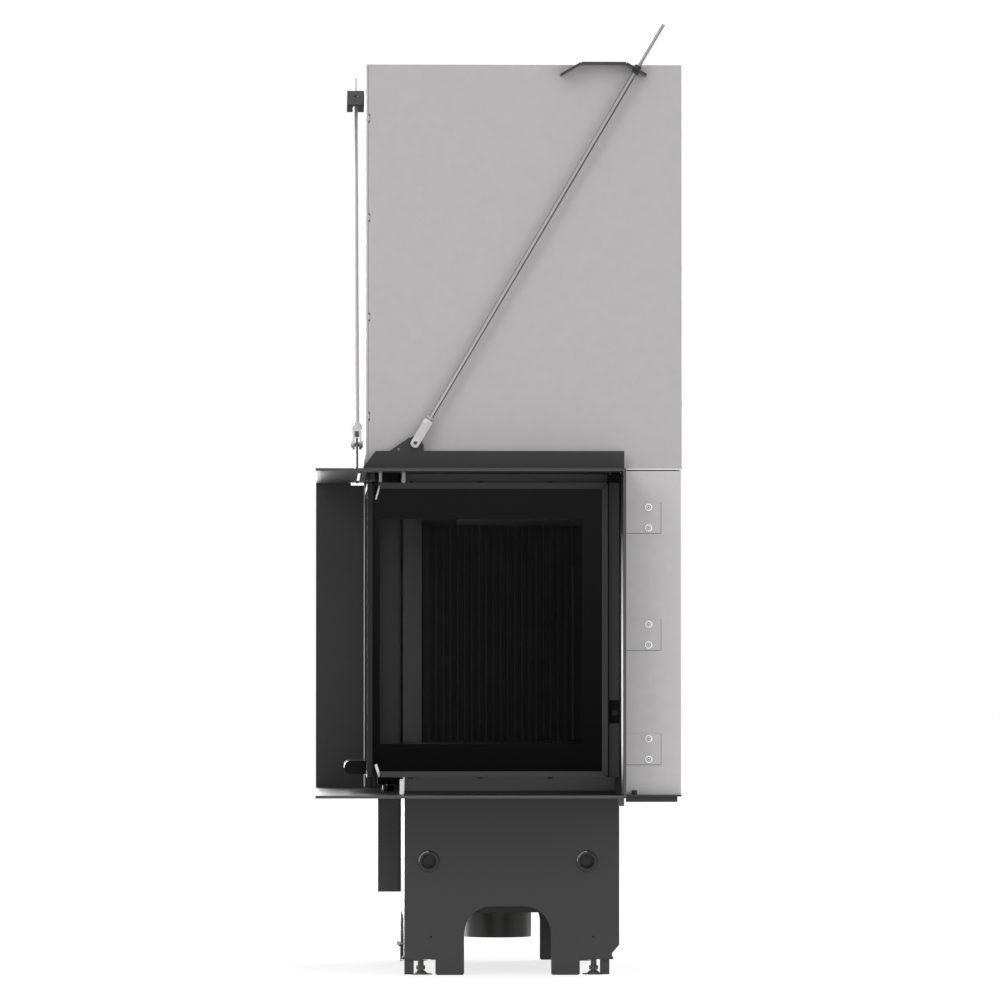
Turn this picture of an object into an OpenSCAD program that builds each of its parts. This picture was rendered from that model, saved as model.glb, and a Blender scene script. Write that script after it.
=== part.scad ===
// Corner fireplace insert with a lifting glass door.
// +Z is up, the long glass faces -Y, the short glass faces +X. The origin is on the
// floor, in the middle of the overall width and depth.

/* [Collar] */
// Overall width, from the wall side to the lip on the glass side
over_w = 805; // [760:1:900]
// How far the collar stands out past the casing
lip_out = 90; // [70:1:110]
// Thickness of the collar plates
collar_t = 5; // [3:0.5:6]
// Height of the underside of the collar above the floor
collar_z = 320; // [290:1:380]
// Height of the collar over both plates
collar_h = 586; // [540:1:640]
// Height of the flange that carries a tie rod
flange_h = 33; // [25:1:40]
// Thickness of that flange
flange_t = 4; // [3:0.5:5]
// Distance from the casing to the middle of the flange and of the tie rod
rod_out = 16; // [14:1:20]

/* [Casing over the door] */
// Depth of the casing behind the chamber, where the side counterweight runs
shaft_d = 109; // [104:1:130]
// Height of the casing
case_h = 726; // [690:1:860]
// Thickness of its galvanised sheet
case_t = 1.2; // [0.8:0.1:1.5]
// Depth of each arm of the casing, seen from above
case_arm = 130; // [120:1:150]
// Gap between the casing and the wall side of the collar
case_gap = 2.5; // [1:0.5:6]
// Height of the slots in the folded front edge
slot_h = 15; // [10:1:20]
// Spacing of those slots
slot_step = 178; // [140:1:200]
// Height of the heads of the screws at the back
screw_h = 2.8; // [2:0.1:4]

/* [Door] */
// Distance from the wall side of the casing to the end of the door
door_end = 33.5; // [33:0.5:60]
// Distance from the back of the chamber to the rear end of the door
door_rear = 23; // [21:1:60]
// Space between the collar and the bottom edge of the door
gap_below = 31; // [20:1:45]
// Space between the top edge of the door and the collar
gap_above = 18; // [12:1:30]
// Visible width of a frame bar
bar_w = 10.5; // [8:0.5:14]
// Depth of a frame bar
bar_t = 9.7; // [8:0.1:11]
// Thickness of the glass
glass_t = 4; // [3:0.5:5]
// Space left between the handle and the collar when the door is up
lift_stop = 28; // [20:1:60]
// Length of the handle
handle_len = 320; // [200:1:420]
// How far the handle stands out
handle_out = 40; // [30:1:50]
// Height of the handle
handle_h = 24; // [18:1:30]
// Running clearance between the raised door and the casing
door_run = 0.8; // [0.5:0.1:1.5]

/* [Fire chamber] */
// Distance from the lips of the collar to the chamber and the stand
body_in = 159.5; // [145:0.5:175]
// Distance from the wall side of the collar to the chamber and the stand
wall_gap = 15.5; // [13:0.5:45]
// Depth of the chamber and the stand
body_d = 386.5; // [360:0.5:390]
// Thickness of the chamber steel
steel_t = 5; // [4:0.5:6]
// Height of the sill that the hearth lies behind
sill_h = 74; // [60:1:80]
// Height of the header at the top of the chamber
header_h = 50; // [40:1:60]
// Thickness of the lining, without its ribs
lining_t = 34; // [25:1:40]
// Spacing of the lining ribs
rib_step = 13.5; // [10:0.5:20]
// Height of a lining rib
rib_h = 6; // [4:0.5:8]
// Radius of the flue spigot
flue_r = 99; // [75:1:100]
// Height of the flue spigot above its flange
flue_h = 66; // [50:1:80]

/* [Stand] */
// Thickness of the stand panels
panel_t = 4; // [3:0.5:5]
// Height of the lower edge of the panels above the floor
skirt_z = 28; // [24:1:40]
// Width of a leg
leg_w = 51.5; // [40:0.5:60]
// Distance from the front edge of the panel to the front leg
leg_front = 56; // [45:1:70]
// Distance from the rear edge of the panel to the rear leg
leg_rear = 71; // [60:1:80]
// Height of the arch between the legs
arch_h = 123; // [118:1:150]
// Radius of the corners of the arch
arch_r = 50; // [30:1:55]
// Radius of the air spigot
air_r = 62.5; // [50:0.5:75]
// Length of the air spigot
air_len = 53; // [40:1:60]
// Radius of a carrying socket
socket_r = 18.8; // [14:0.2:22]
// Height of the carrying sockets above the floor
socket_z = 204; // [180:1:230]
// Radius of a levelling foot
foot_r = 20.5; // [16:0.5:26]
// Radius of the stem of a levelling foot
stem_r = 5.5; // [4:0.5:6]

/* [Tie rods] */
// Radius of a tie rod
rod_r = 4.5; // [4:0.5:6]
// Radius of its threaded top end
rod_top_r = 3.5; // [3:0.5:4]
// Width of the fork at its lower end
fork_w = 16; // [14:1:20]
// Radius of the fork pin
pin_r = 4; // [3:0.5:5]
// How far the side rod leans back over its height
lean_side = 395; // [330:1:420]
// How far the front rod leans over its height
lean_front = 597; // [500:1:610]

/* [Counterweights] */
// Width of the side counterweight
weight_w = 50; // [40:1:52]
// Depth of the side counterweight
weight_d = 80; // [60:1:84]
// Height of the side counterweight
weight_h = 300; // [200:1:320]
// Height of the front counterweight
weight_front_h = 300; // [240:1:360]
// Width of the shaft at the wall side, along the front
column_w = 53; // [50:1:54]
// Depth of that shaft
column_d = 39; // [36:1:40]
// Radius at which the cable runs on the side pulley
pulley_r = 38; // [30:1:40]
// Radius of the pulley axles
axle_r = 6; // [4:0.5:8]
// Radius of the steel cable
cable_r = 2; // [1.5:0.5:2.5]

/* [Hidden] */
$fn = 48;

// Small distance by which a cut runs past a face
cut = 1;
// Gap between flat pieces that move past each other
slide_gap = 0.5;
// Radial clearance of a pin, a nut or an axle
fit = 0.05;

// Planes of the collar and the casing
x_lip = over_w / 2;
x_wall = -over_w / 2;
over_d = body_in + body_d + shaft_d + screw_h;
y_lip = -over_d / 2;
x_case = x_lip - lip_out;
y_case = y_lip + lip_out;
y_case_back = y_lip + body_in + body_d + shaft_d;
x_case_wall = x_wall + case_gap;
x_case_in = x_case - case_t;
y_case_in = y_case + case_t;
z_collar_top = collar_z + collar_h;
z_top_under = z_collar_top - collar_t;
z_deck = collar_z + collar_t;
z_case_top = z_collar_top + case_h;

// Planes of the chamber and the stand
x_body = x_lip - body_in;
y_body = y_lip + body_in;
x_body_wall = x_wall + wall_gap;
body_w = x_body - x_body_wall;
y_body_back = y_body + body_d;
floor_t = 6;
z_floor = z_deck + floor_t;
z_sill = z_floor + sill_h;
z_roof = z_collar_top - floor_t;
z_header = z_roof - header_h;
collar_gap = 0.5;
y_collar_back = y_body_back + collar_gap + collar_t;

// Planes of the door
x_door = x_case_in - 3.8;
y_door = y_case_in + door_run;
x_door_wall = x_case_wall + door_end;
y_door_back = y_body_back - door_rear;
z_door = z_deck + gap_below;
z_door_top = z_top_under - gap_above;
x_glass = x_door - bar_t;
y_glass = y_door + bar_t;
x_glass_in = x_glass - glass_t;
y_glass_in = y_glass + glass_t;
z_handle = z_door + 3;
// Edge of a pane behind its bar
lap = 5;
// How far the door lifts
lift = z_top_under - z_handle - handle_h - lift_stop;
// Where the bars of the side frame begin behind the corner
y_bar_start = y_door + 22.7;

// Hearth, lining and baffle
z_hearth = z_sill + 7;
z_lining_top = z_header - 30;
baffle_t = 25;
rib_w = 6;
// Reach of the sill and header ledges towards the glass
ledge_out = x_glass_in - 16 - x_body;
ledge_t = 5;
rope_r = 4;
y_ledge_end = y_body_back - 28;
y_lining = y_body_back - steel_t - lining_t;
x_lining = x_body_wall + steel_t + lining_t;
post_d = 35;

// Flue spigot, in the corner that the casing leaves free
flue_x = (x_body_wall + x_case - case_arm) / 2;
flue_y = (y_case + case_arm + y_body_back) / 2;
dome_h = 84;
dome_w = 3 * flue_r;
dome_d = 2.5 * flue_r;
z_dome = z_collar_top + dome_h;

// Tie rods
z_flange = z_collar_top + flange_h;
z_pin = z_flange + 14.4;
y_pin_side = y_case + 88;
x_pin_front = x_case - 73;
rod_flange_x = x_case + rod_out;
rod_flange_y = y_case - rod_out;
rod_drop = 11;
z_rod_hole = z_case_top - rod_drop;
rod_rise = z_rod_hole - z_pin;
len_side = norm([lean_side, rod_rise]);
len_front = norm([lean_front, rod_rise]);
angle_side = atan2(lean_side, rod_rise);
angle_front = atan2(lean_front, rod_rise);
rod_past_side = 96;
rod_past_front = 63;
fork_top = 40;
bracket_t = 3;
bracket_w = 32;
bracket_flat = 80;
bracket_slope = 42;
// Slot in the top plate beside the front flange
slot_w = 5.5;

// Counterweights, guides and pulleys
z_pulley = z_case_top - 70;
x_cable_rear = x_door - 24.5;
y_cable_rear = y_door_back + 5.7;
y_weight_rear = y_cable_rear + 2 * pulley_r;
y_pulley_rear = y_cable_rear + pulley_r;
z_shaft = z_deck - 3;
z_weight_rear = z_deck + lift + 15;
column_t = 2;
x_column = x_case_wall + case_t;
y_column = y_body - 3.5 - column_d;
z_column = collar_z - 190;
z_column_top = z_collar_top + 60;
x_cable_front = x_column + column_w / 2;
y_weight_front = y_column + column_d / 2;
y_cable_front = y_glass - 1.5;
pulley_front_r = (y_weight_front - y_cable_front) / 2;
y_pulley_front = y_cable_front + pulley_front_r;
z_weight_front = z_column + column_t + lift + 14;
weight_run = 2;
carriage_t = 3;
carriage_w = 20;
lug_h = 14;
eye_h = 16;
x_ledge_end = x_column + column_w + 2;
z_lug = z_door_top + lug_h;
rail_t = 2;
rail_w = 16;
z_rail_top = z_door_top + lift + 100;

latch_r = 2.5;
y_latch = y_door_back + carriage_w - 7;
z_latch = z_door + 115;

// Rear cover beside the side counterweight
y_cover = y_collar_back + 1.4;
y_cover_back = y_case_back - 1.4;
x_cover_in = x_body - 7;
tab_h = 55.5;
tab_w = 0.6055 * shaft_d;
tab_z = [for (share = [0.8541, 0.4966, 0.1476]) collar_z + share * collar_h];

// Levelling feet and the plates that carry them
stand_bevel = 13;
foot_in = 30;
foot_rear_in = 45;
foot_plate_t = 4;
pad_h = 7;
foot_travel = 25;
foot_spots = [
    [x_body - foot_in, y_body + foot_in],
    [x_body - foot_in, y_body_back - foot_rear_in],
    [x_body_wall + foot_in, y_body + foot_in],
    [x_body_wall + foot_in, y_body_back - foot_rear_in]
];
air_centre_y = (y_body + y_body_back) / 2 - 18;
z_air_floor = arch_h - 11;
air_floor_t = 3;

// Air control under the front of the door
air_x = (x_body_wall + x_body) / 2 + 14.5;
air_y = y_door + 42;
air_win = body_w / 11.25;
air_win_d = 20;
air_travel = air_win;
air_arm_w = 40;
air_x0 = air_x - 4 * air_win;
air_y0 = y_body + steel_t + 4;

steel = "#2b2b2c";
dark = "#1b1b1c";
zinc = "#b9b9ba";
bright = "#c9c9ca";
brick = "#3a3835";

// Block between two corners
module block(a, b) {
    translate(a) cube(b - a);
}

// Flat outline in Y and Z, given a thickness along X
module plate_yz(x, t) {
    translate([x, 0, 0]) rotate([90, 0, 90]) linear_extrude(t) children();
}

// Flat outline in X and Z, given a thickness along Y
module plate_xz(y, t) {
    translate([0, y + t, 0]) rotate([90, 0, 0]) linear_extrude(t) children();
}

// Arch-shaped outline with rounded upper corners, its foot below the floor
module arch(w, h, r) {
    translate([0, -cut]) square([w, h - r + cut]);
    translate([r, h - r - cut]) square([w - 2 * r, r + cut]);
    for (x = [r, w - r]) translate([x, h - r]) circle(r);
}

// Foot of a leg with rounded lower corners
module leg(w, h, r) {
    translate([0, r]) square([w, h - r]);
    translate([r, 0]) square([w - 2 * r, h]);
    for (x = [r, w - r]) translate([x, r]) circle(r);
}

// Side panel of the stand, drawn from its front edge
module stand_outline() {
    rear_leg = body_d - leg_rear - leg_w;
    difference() {
        union() {
            translate([0, skirt_z]) square([body_d, z_deck - skirt_z]);
            translate([leg_front, 0]) leg(leg_w, skirt_z + cut, 4);
            translate([rear_leg, 0]) leg(leg_w, skirt_z + cut, 4);
        }
        translate([leg_front + leg_w, 0]) arch(rear_leg - leg_front - leg_w, arch_h, arch_r);
        polygon([[body_d - stand_bevel, skirt_z - cut], [body_d + cut, skirt_z - cut],
            [body_d + cut, skirt_z + 2 * stand_bevel], [body_d, skirt_z + 2 * stand_bevel],
            [body_d - stand_bevel, skirt_z + stand_bevel - 2]]);
        for (y = [44, body_d - 58]) translate([y, socket_z]) circle(socket_r - 5, $fn = 72);
        for (y = [48, body_d - 47]) translate([y, 68.4]) circle(2);
    }
}

module base_panel_glass() {
    color(steel) plate_yz(x_body - panel_t, panel_t) translate([y_body, 0]) stand_outline();
}

module base_panel_wall() {
    color(steel) plate_yz(x_body_wall, panel_t) translate([y_body, 0]) stand_outline();
}

// Panel of the stand between the side panels, its lower edge at the given height
module cross_panel(y, z0) {
    inner_w = body_w - 2 * panel_t;
    side_w = 100;
    plate_xz(y, panel_t) translate([x_body_wall + panel_t, 0]) difference() {
        translate([0, z0]) square([inner_w, z_deck - z0]);
        translate([side_w, 0]) arch(inner_w - 2 * side_w, z_air_floor - 12, arch_r);
    }
}

module base_cross_panels() {
    color(steel) {
        cross_panel(y_body, skirt_z + foot_plate_t);
        cross_panel(y_body_back - panel_t, skirt_z + 2 * stand_bevel);
    }
}

// Air floor: a folded tray that closes the space under the chamber
module base_floor() {
    edge = 30;
    x0 = x_body_wall + panel_t;
    x1 = x_body - panel_t;
    y0 = y_body + panel_t;
    y1 = y_body_back - panel_t;
    z0 = z_air_floor;
    color(steel) difference() {
        block([x0, y0, z0], [x1, y1, z0 + edge]);
        block([x0 + air_floor_t, y0 + air_floor_t, z0 + air_floor_t],
            [x1 - air_floor_t, y1 - air_floor_t, z0 + edge + cut]);
        translate([(x0 + x1) / 2, air_centre_y, z0 - cut]) cylinder(r = air_r - 1.5, h = edge);
    }
}

// Round spigot for the outside air duct
module air_spigot() {
    flange = 2;
    color(dark) translate([(x_body_wall + x_body) / 2, air_centre_y, z_air_floor - flange - air_len])
        difference() {
            union() {
                cylinder(r = air_r, h = air_len, $fn = 96);
                translate([0, 0, air_len]) cylinder(r = air_r + 12, h = flange, $fn = 96);
            }
            translate([0, 0, -cut]) cylinder(r = air_r - 1.5, h = air_len + flange + 2 * cut, $fn = 96);
        }
}

// Plates in the corners of the stand, each with the hole for a foot and a flange folded down
module foot_plates() {
    reach = 52;
    half = 24;
    fold_w = 17;
    fold_t = 3;
    color(steel) for (spot = foot_spots) {
        side = spot[0] > flue_x ? 1 : -1;
        front = spot[1] < air_centre_y;
        x_edge = side > 0 ? x_body - panel_t : x_body_wall + panel_t;
        y0 = front ? y_body - 3.6 : spot[1] - half;
        y1 = front ? spot[1] + half : y_body_back - 10.6;
        y_fold = front ? y_body + 0.2 : y1 - 7 - fold_w;
        difference() {
            block([min(x_edge, x_edge - side * reach), y0, skirt_z],
                [max(x_edge, x_edge - side * reach), y1, skirt_z + foot_plate_t]);
            translate([spot[0], spot[1], skirt_z - cut])
                cylinder(r = stem_r + 0.4, h = foot_plate_t + 2 * cut);
        }
        block([min(x_edge, x_edge - side * fold_t), y_fold, 1],
            [max(x_edge, x_edge - side * fold_t), y_fold + fold_w, skirt_z + cut]);
    }
}

// Closed round sockets in the side panels, for the ends of carrying bars
module carry_sockets() {
    depth = 14;
    cup_r = socket_r - 5;
    bore_r = socket_r - 7.2;
    color(dark) for (side = [0, 1]) for (y = [y_body + 44, y_body_back - 58])
        translate([side == 0 ? x_body : x_body_wall, y, socket_z]) rotate([0, side == 0 ? 90 : -90, 0])
            rotate_extrude($fn = 72) polygon([
                [0, -depth - 2], [cup_r, -depth - 2], [cup_r, 0], [socket_r, 0], [socket_r, 1.5],
                [socket_r - 2, 3.5], [socket_r - 4, 3.5], [cup_r, 2], [bore_r, 2], [bore_r, -depth],
                [0, -depth]]);
}

// Bottom plate of the chamber, with a row of air windows behind the front sill
module firebox_floor() {
    color(steel) difference() {
        block([x_body_wall, y_body, z_deck], [x_body, y_body_back, z_floor]);
        air_windows(z_floor);
    }
}

// Back wall of the chamber, with pressed stiffeners outside
module firebox_back() {
    depth = 14;
    half = 20;
    color(steel) {
        block([x_body_wall, y_body_back - steel_t, z_floor], [x_body, y_body_back, z_roof]);
        for (x = [for (share = [1 / 6, 1 / 2, 5 / 6]) x_body_wall + share * body_w])
            block([x - half, y_body_back - cut, z_floor + 50],
                [x + half, y_body_back + depth, z_roof - 2 * half]);
    }
}

// Wall-side wall of the chamber, with the air post beside the door
module firebox_wall_side() {
    y1 = y_body_back - steel_t;
    color(steel) {
        block([x_body_wall, y_body, z_floor], [x_body_wall + steel_t, y1, z_roof]);
        block([x_body_wall + steel_t - cut, y_body + steel_t, z_sill],
            [x_lining + rib_h, y_body + steel_t + post_d, z_header]);
        for (z = [z_floor + 120, z_roof - 160])
            block([x_body_wall - 8, y_body + 40, z], [x_body_wall + cut, y1 - 40, z + 40]);
    }
}

// Tapered hood between two rectangles
module hood(w0, d0, w1, d1, h) {
    intersection() {
        plate_yz(-w0 / 2, w0) polygon([[-d0 / 2, 0], [d0 / 2, 0], [d1 / 2, h], [-d1 / 2, h]]);
        plate_xz(-d0 / 2, d0) polygon([[-w0 / 2, 0], [w0 / 2, 0], [w1 / 2, h], [-w1 / 2, h]]);
    }
}

// Top of the chamber with the smoke dome welded on it
module firebox_top() {
    top = 2 * flue_r + 30;
    color(steel) {
        difference() {
            union() {
                block([x_body_wall, y_body, z_roof], [x_body, y_body_back, z_collar_top]);
                translate([flue_x, flue_y, z_collar_top]) hood(dome_w, dome_d, top, top, dome_h);
            }
            translate([flue_x, flue_y, z_roof - cut])
                hood(dome_w - 10, dome_d - 10, top - 10, top - 10, dome_h + floor_t - 3);
            translate([flue_x, flue_y, z_dome - 10]) cylinder(r = flue_r - 3, h = 20, $fn = 96);
        }
    }
}

// Flue spigot with its flange
module flue_spigot() {
    flange = 4;
    color(dark) translate([flue_x, flue_y, z_dome]) difference() {
        union() {
            cylinder(r = flue_r + 12, h = flange, $fn = 96);
            cylinder(r = flue_r, h = flange + flue_h, $fn = 96);
        }
        translate([0, 0, -cut]) cylinder(r = flue_r - 3, h = flange + flue_h + 2 * cut, $fn = 96);
    }
}

// Corner strip in plan: one leg along the front, one along the glass side
module corner_strip(x_out, y_out, x_far, y_far, w, z0, z1) {
    block([x_far, y_out, z0], [x_out, y_out + w, z1]);
    block([x_out - w, y_out + w - cut, z0], [x_out, y_far, z1]);
}

// Sill under the glass: upstands on the chamber and a ledge towards the door
module sill_frame() {
    color(steel) difference() {
        union() {
            corner_strip(x_body, y_body, x_body_wall + steel_t, y_body_back - steel_t, steel_t,
                z_floor, z_sill);
            corner_strip(x_body + ledge_out - 2 * rope_r, y_body - ledge_out + 2 * rope_r,
                x_ledge_end, y_ledge_end, ledge_out - 2 * rope_r + steel_t, z_sill - ledge_t, z_sill);
        }
        block([air_x - air_arm_w / 2 - 0.6, y_body - cut, z_floor - cut],
            [air_x + air_arm_w / 2 + 0.6 + air_travel, y_body + steel_t + cut, z_floor + 19]);
    }
}

// Header over the glass, with the ledge that turns the washing air down
module header_frame() {
    color(steel) {
        corner_strip(x_body, y_body, x_body_wall + steel_t, y_body_back - steel_t, steel_t,
            z_header, z_roof);
        corner_strip(x_body + ledge_out - 2 * rope_r, y_body - ledge_out + 2 * rope_r,
            x_ledge_end, y_ledge_end, ledge_out - 2 * rope_r + steel_t, z_header, z_header + ledge_t);
    }
}

// Rope seals along the edges of both ledges
module seal_ropes() {
    x = x_body + ledge_out - rope_r;
    y = y_body - ledge_out + rope_r;
    color("#4a4845") for (z = [z_sill - ledge_t / 2, z_header + ledge_t / 2]) {
        translate([x, y, z]) sphere(rope_r);
        translate([x_ledge_end, y, z]) rotate([0, 90, 0]) cylinder(r = rope_r, h = x - x_ledge_end);
        translate([x, y, z]) rotate([-90, 0, 0]) cylinder(r = rope_r, h = y_ledge_end - y);
    }
}

// Outline of a ribbed slab: its back lies on the X axis, its ribs stand up
module ribbed_outline(w, t) {
    count = floor((w - rib_w) / rib_step);
    side = (w - (count - 1) * rib_step - rib_w) / 2;
    polygon(concat([[0, 0], [w, 0], [w, t]],
        [for (i = [count - 1 : -1 : 0]) let (x = side + i * rib_step)
            each [[x + rib_w, t], [x + rib_w - 1.5, t + rib_h], [x + 1.5, t + rib_h], [x, t]]],
        [[0, t]]));
}

module lining_back() {
    color(brick) translate([x_body - steel_t, y_body_back - steel_t, z_hearth]) rotate([0, 0, 180])
        linear_extrude(z_lining_top - z_hearth) ribbed_outline(body_w - 2 * steel_t, lining_t);
}

module lining_wall() {
    y0 = y_body + steel_t + post_d + 1;
    y1 = y_lining - rib_h - 1;
    color(brick) translate([x_body_wall + steel_t, y1, z_hearth]) rotate([0, 0, -90])
        linear_extrude(z_lining_top - z_hearth) ribbed_outline(y1 - y0, lining_t);
}

// Insulating bed and the tiles of the hearth
module hearth_tiles() {
    tile_t = 40;
    joint = 1;
    x0 = x_body_wall + steel_t;
    y0 = y_body + steel_t;
    w = (body_w - 2 * steel_t) / 3;
    d = (body_d - 2 * steel_t) / 2;
    color(brick) {
        block([x0 + joint, y0 + 32, z_floor], [x0 + 3 * w - joint, y0 + 2 * d, z_hearth - tile_t]);
        difference() {
            for (i = [0 : 2]) for (j = [0 : 1])
                block([x0 + i * w + joint / 2, y0 + j * d + joint / 2, z_hearth - tile_t],
                    [x0 + (i + 1) * w - joint / 2, y0 + (j + 1) * d - joint / 2, z_hearth]);
            block([x0 - cut, y0 - cut, z_sill - 0.5],
                [x_lining + rib_h + joint, y0 + post_d + joint, z_hearth + cut]);
        }
    }
}

// Baffle, lying on the linings under the dome
module baffle_plate() {
    color(brick) block([x_body_wall + steel_t + 1, y_body + 105, z_lining_top],
        [x_body - steel_t - 1, y_body_back - steel_t - 1, z_lining_top + baffle_t]);
}

module collar_top() {
    color(dark) difference() {
        union() {
            block([x_wall, y_lip, z_top_under], [x_lip, y_case_in, z_collar_top]);
            block([x_case_in, y_lip, z_top_under], [x_lip, y_collar_back, z_collar_top]);
        }
        block([x_wall + 8, rod_flange_y + flange_t / 2, z_top_under - cut],
            [x_case - 60, rod_flange_y + flange_t / 2 + slot_w, z_collar_top + cut]);
    }
}

module collar_bottom() {
    color(dark) difference() {
        union() {
            block([x_wall, y_lip, collar_z], [x_lip, y_body, z_deck]);
            block([x_body, y_lip, collar_z], [x_lip, y_collar_back, z_deck]);
            block([x_lip - 24, y_collar_back - 14, collar_z - 14],
                [x_lip - 20, y_collar_back - 3, collar_z + cut]);
        }
        block([x_column, y_column, collar_z - cut],
            [x_column + column_w, y_body + cut, z_deck + cut]);
    }
}

module collar_rear() {
    color(dark) block([x_body, y_collar_back - collar_t, z_deck], [x_lip, y_collar_back, z_top_under]);
}

module collar_wall() {
    color(dark) difference() {
        block([x_wall, y_lip, z_deck], [x_wall + collar_t, y_glass_in, z_top_under]);
        block([x_wall - cut, y_case - 24, z_top_under - 4],
            [x_wall + collar_t + cut, y_case, z_top_under + cut]);
    }
}

// Raised tab with the pin hole, drawn from the collar up, rising to the right
module rod_tab(x_pin) {
    rise = z_pin - z_collar_top;
    difference() {
        union() {
            polygon([[x_pin - 56, flange_h - cut], [x_pin - 46, flange_h], [x_pin - 12, rise + 9],
                [x_pin + 4, rise + 12], [x_pin + 15, rise - 4], [x_pin + 15, flange_h - cut]]);
            translate([x_pin, rise]) circle(12.5);
        }
        translate([x_pin, rise]) circle(pin_r + fit);
        translate([x_pin - 30, flange_h + 3]) circle(2.5);
    }
}

// Upright flanges on the collar that carry the lower ends of the tie rods
module top_angles() {
    chamfer = 22;
    y0 = y_case - 5;
    side_len = y_collar_back - y0;
    x1 = x_case + 10;
    front_len = x1 - x_wall - 6;
    color(dark) {
        plate_yz(rod_flange_x - flange_t / 2, flange_t) translate([y0, z_collar_top]) {
            polygon([[0, 0], [side_len, 0], [side_len, flange_h], [chamfer, flange_h], [0, 4]]);
            rod_tab(y_pin_side - y0);
        }
        plate_xz(rod_flange_y - flange_t / 2, flange_t) translate([x1, z_collar_top]) mirror([1, 0]) {
            polygon([[0, 0], [front_len, 0], [front_len, flange_h], [chamfer, flange_h], [0, 4]]);
            rod_tab(x1 - x_pin_front);
        }
    }
}

// Puts its children on a tie rod: Z runs up the rod from the fork pin, X along the pin
module on_side_rod() {
    translate([rod_flange_x, y_pin_side, z_pin]) rotate([-atan2(lean_side, rod_rise), 0, 0]) children();
}

module on_front_rod() {
    translate([x_pin_front, rod_flange_y, z_pin]) rotate([0, -atan2(lean_front, rod_rise), 0])
        rotate([0, 0, 90]) children();
}

module rod(length, past) {
    thread = past + 16;
    plain = length + past - thread;
    grip = 8;
    translate([0, 0, fork_top - grip]) cylinder(r = rod_r, h = plain - fork_top + grip, $fn = 32);
    translate([0, 0, plain - cut]) cylinder(r = rod_top_r, h = thread + cut, $fn = 32);
}

module tie_rods() {
    color(bright) {
        on_side_rod() rod(len_side, rod_past_side);
        on_front_rod() rod(len_front, rod_past_front);
    }
}

// Fork with its slot, pin hole and the threaded hole for the rod
module fork() {
    slot = flange_t + 4;
    w = fork_w;
    difference() {
        intersection() {
            translate([-w / 2, -w / 2, -w / 2 - 1]) cube([w, w, fork_top + w / 2 + 1]);
            union() {
                rotate([0, 90, 0]) cylinder(r = w / 2 + 1, h = 2 * w, center = true);
                translate([-w, -w, 0]) cube([2 * w, 2 * w, fork_top]);
            }
        }
        translate([-slot / 2, -w, -w]) cube([slot, 2 * w, w + 26]);
        rotate([0, 90, 0]) cylinder(r = pin_r + fit, h = 2 * w, center = true);
        translate([0, 0, fork_top - 8]) cylinder(r = rod_r + fit, h = 8 + cut);
    }
}

module rod_clevises() {
    color(bright) {
        on_side_rod() fork();
        on_front_rod() fork();
    }
}

// Fork pin, lock nut above the fork and the two nuts at the bracket
module rod_set(length) {
    nut_h = 6.5;
    rotate([0, 90, 0]) cylinder(r = pin_r, h = fork_w + 6, center = true);
    translate([fork_w / 2, 0, 0]) rotate([0, 90, 0]) cylinder(r = pin_r + 2.5, h = 2.5);
    translate([-fork_w / 2 - 1.5, 0, 0]) rotate([0, 90, 0]) cylinder(r = pin_r + 2, h = 1.5);
    translate([0, 0, fork_top]) nut(rod_r, nut_h);
    for (z = [length + bracket_t, length - nut_h]) translate([0, 0, z]) nut(rod_top_r, nut_h);
}

module nut(r, h) {
    difference() {
        cylinder(r = 2.1 * r, h = h, $fn = 6);
        translate([0, 0, -cut]) cylinder(r = r + fit, h = h + 2 * cut);
    }
}

module rod_fasteners() {
    color("#3a3a3b") {
        on_side_rod() rod_set(len_side);
        on_front_rod() rod_set(len_front);
    }
}

// Bent bracket at the top of the casing: a flat foot on the casing and two slopes outside it.
// Drawn along +Y, with the rod through its rear slope, leaning by the given angle.
module rod_bracket(angle) {
    foot = 34;
    hole_in = rod_drop / sin(angle);
    t = bracket_t;
    x_rod = rod_out;
    translate([0, -hole_in * cos(angle), hole_in * sin(angle)]) {
        translate([-foot, -bracket_flat, 0]) cube([foot + bracket_w, bracket_flat, t]);
        difference() {
            rotate([-angle, 0, 0]) cube([bracket_w, bracket_slope, t]);
            rotate([-angle, 0, 0]) translate([x_rod, hole_in, -cut])
                cylinder(r = rod_top_r + 0.5, h = t + 2 * cut);
        }
        translate([0, -bracket_flat, 0]) difference() {
            mirror([0, 1, 0]) rotate([-angle, 0, 0]) cube([bracket_w, bracket_slope, t]);
            mirror([0, 1, 0]) rotate([-angle, 0, 0]) translate([x_rod, hole_in, -cut])
                cylinder(r = rod_top_r, h = t + 2 * cut);
        }
    }
}

module rod_brackets() {
    color(dark) {
        translate([x_case, y_pin_side + lean_side, z_rod_hole]) rod_bracket(angle_side);
        translate([x_pin_front - lean_front, y_case, z_rod_hole]) mirror([1, 1, 0])
            rod_bracket(angle_front);
    }
}

module casing_front() {
    z1 = z_case_top - case_t;
    fold = 4;
    color(zinc) {
        block([x_case_wall, y_case, z_collar_top], [x_case, y_case_in, z1]);
        block([x_case_in, y_case, z_collar_top], [x_case, y_case + fold, z1]);
        for (i = [0 : 3])
            block([x_case_in, y_case + fold - cut, slot_place(i)],
                [x_case, y_case + fold + 2.5, slot_place(i) + slot_h - 6]);
    }
}

function slot_place(i) = z_collar_top + 91 + i * slot_step;

module casing_side() {
    z1 = z_case_top - case_t;
    fold = 4;
    color(zinc) difference() {
        block([x_case_in, y_case + fold + 0.4, z_collar_top], [x_case, y_case_back - case_t, z1]);
        for (i = [0 : 3])
            block([x_case_in - cut, y_case + fold, slot_place(i) - 3],
                [x_case + cut, y_case + fold + 3, slot_place(i) + slot_h - 3]);
    }
}

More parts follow.
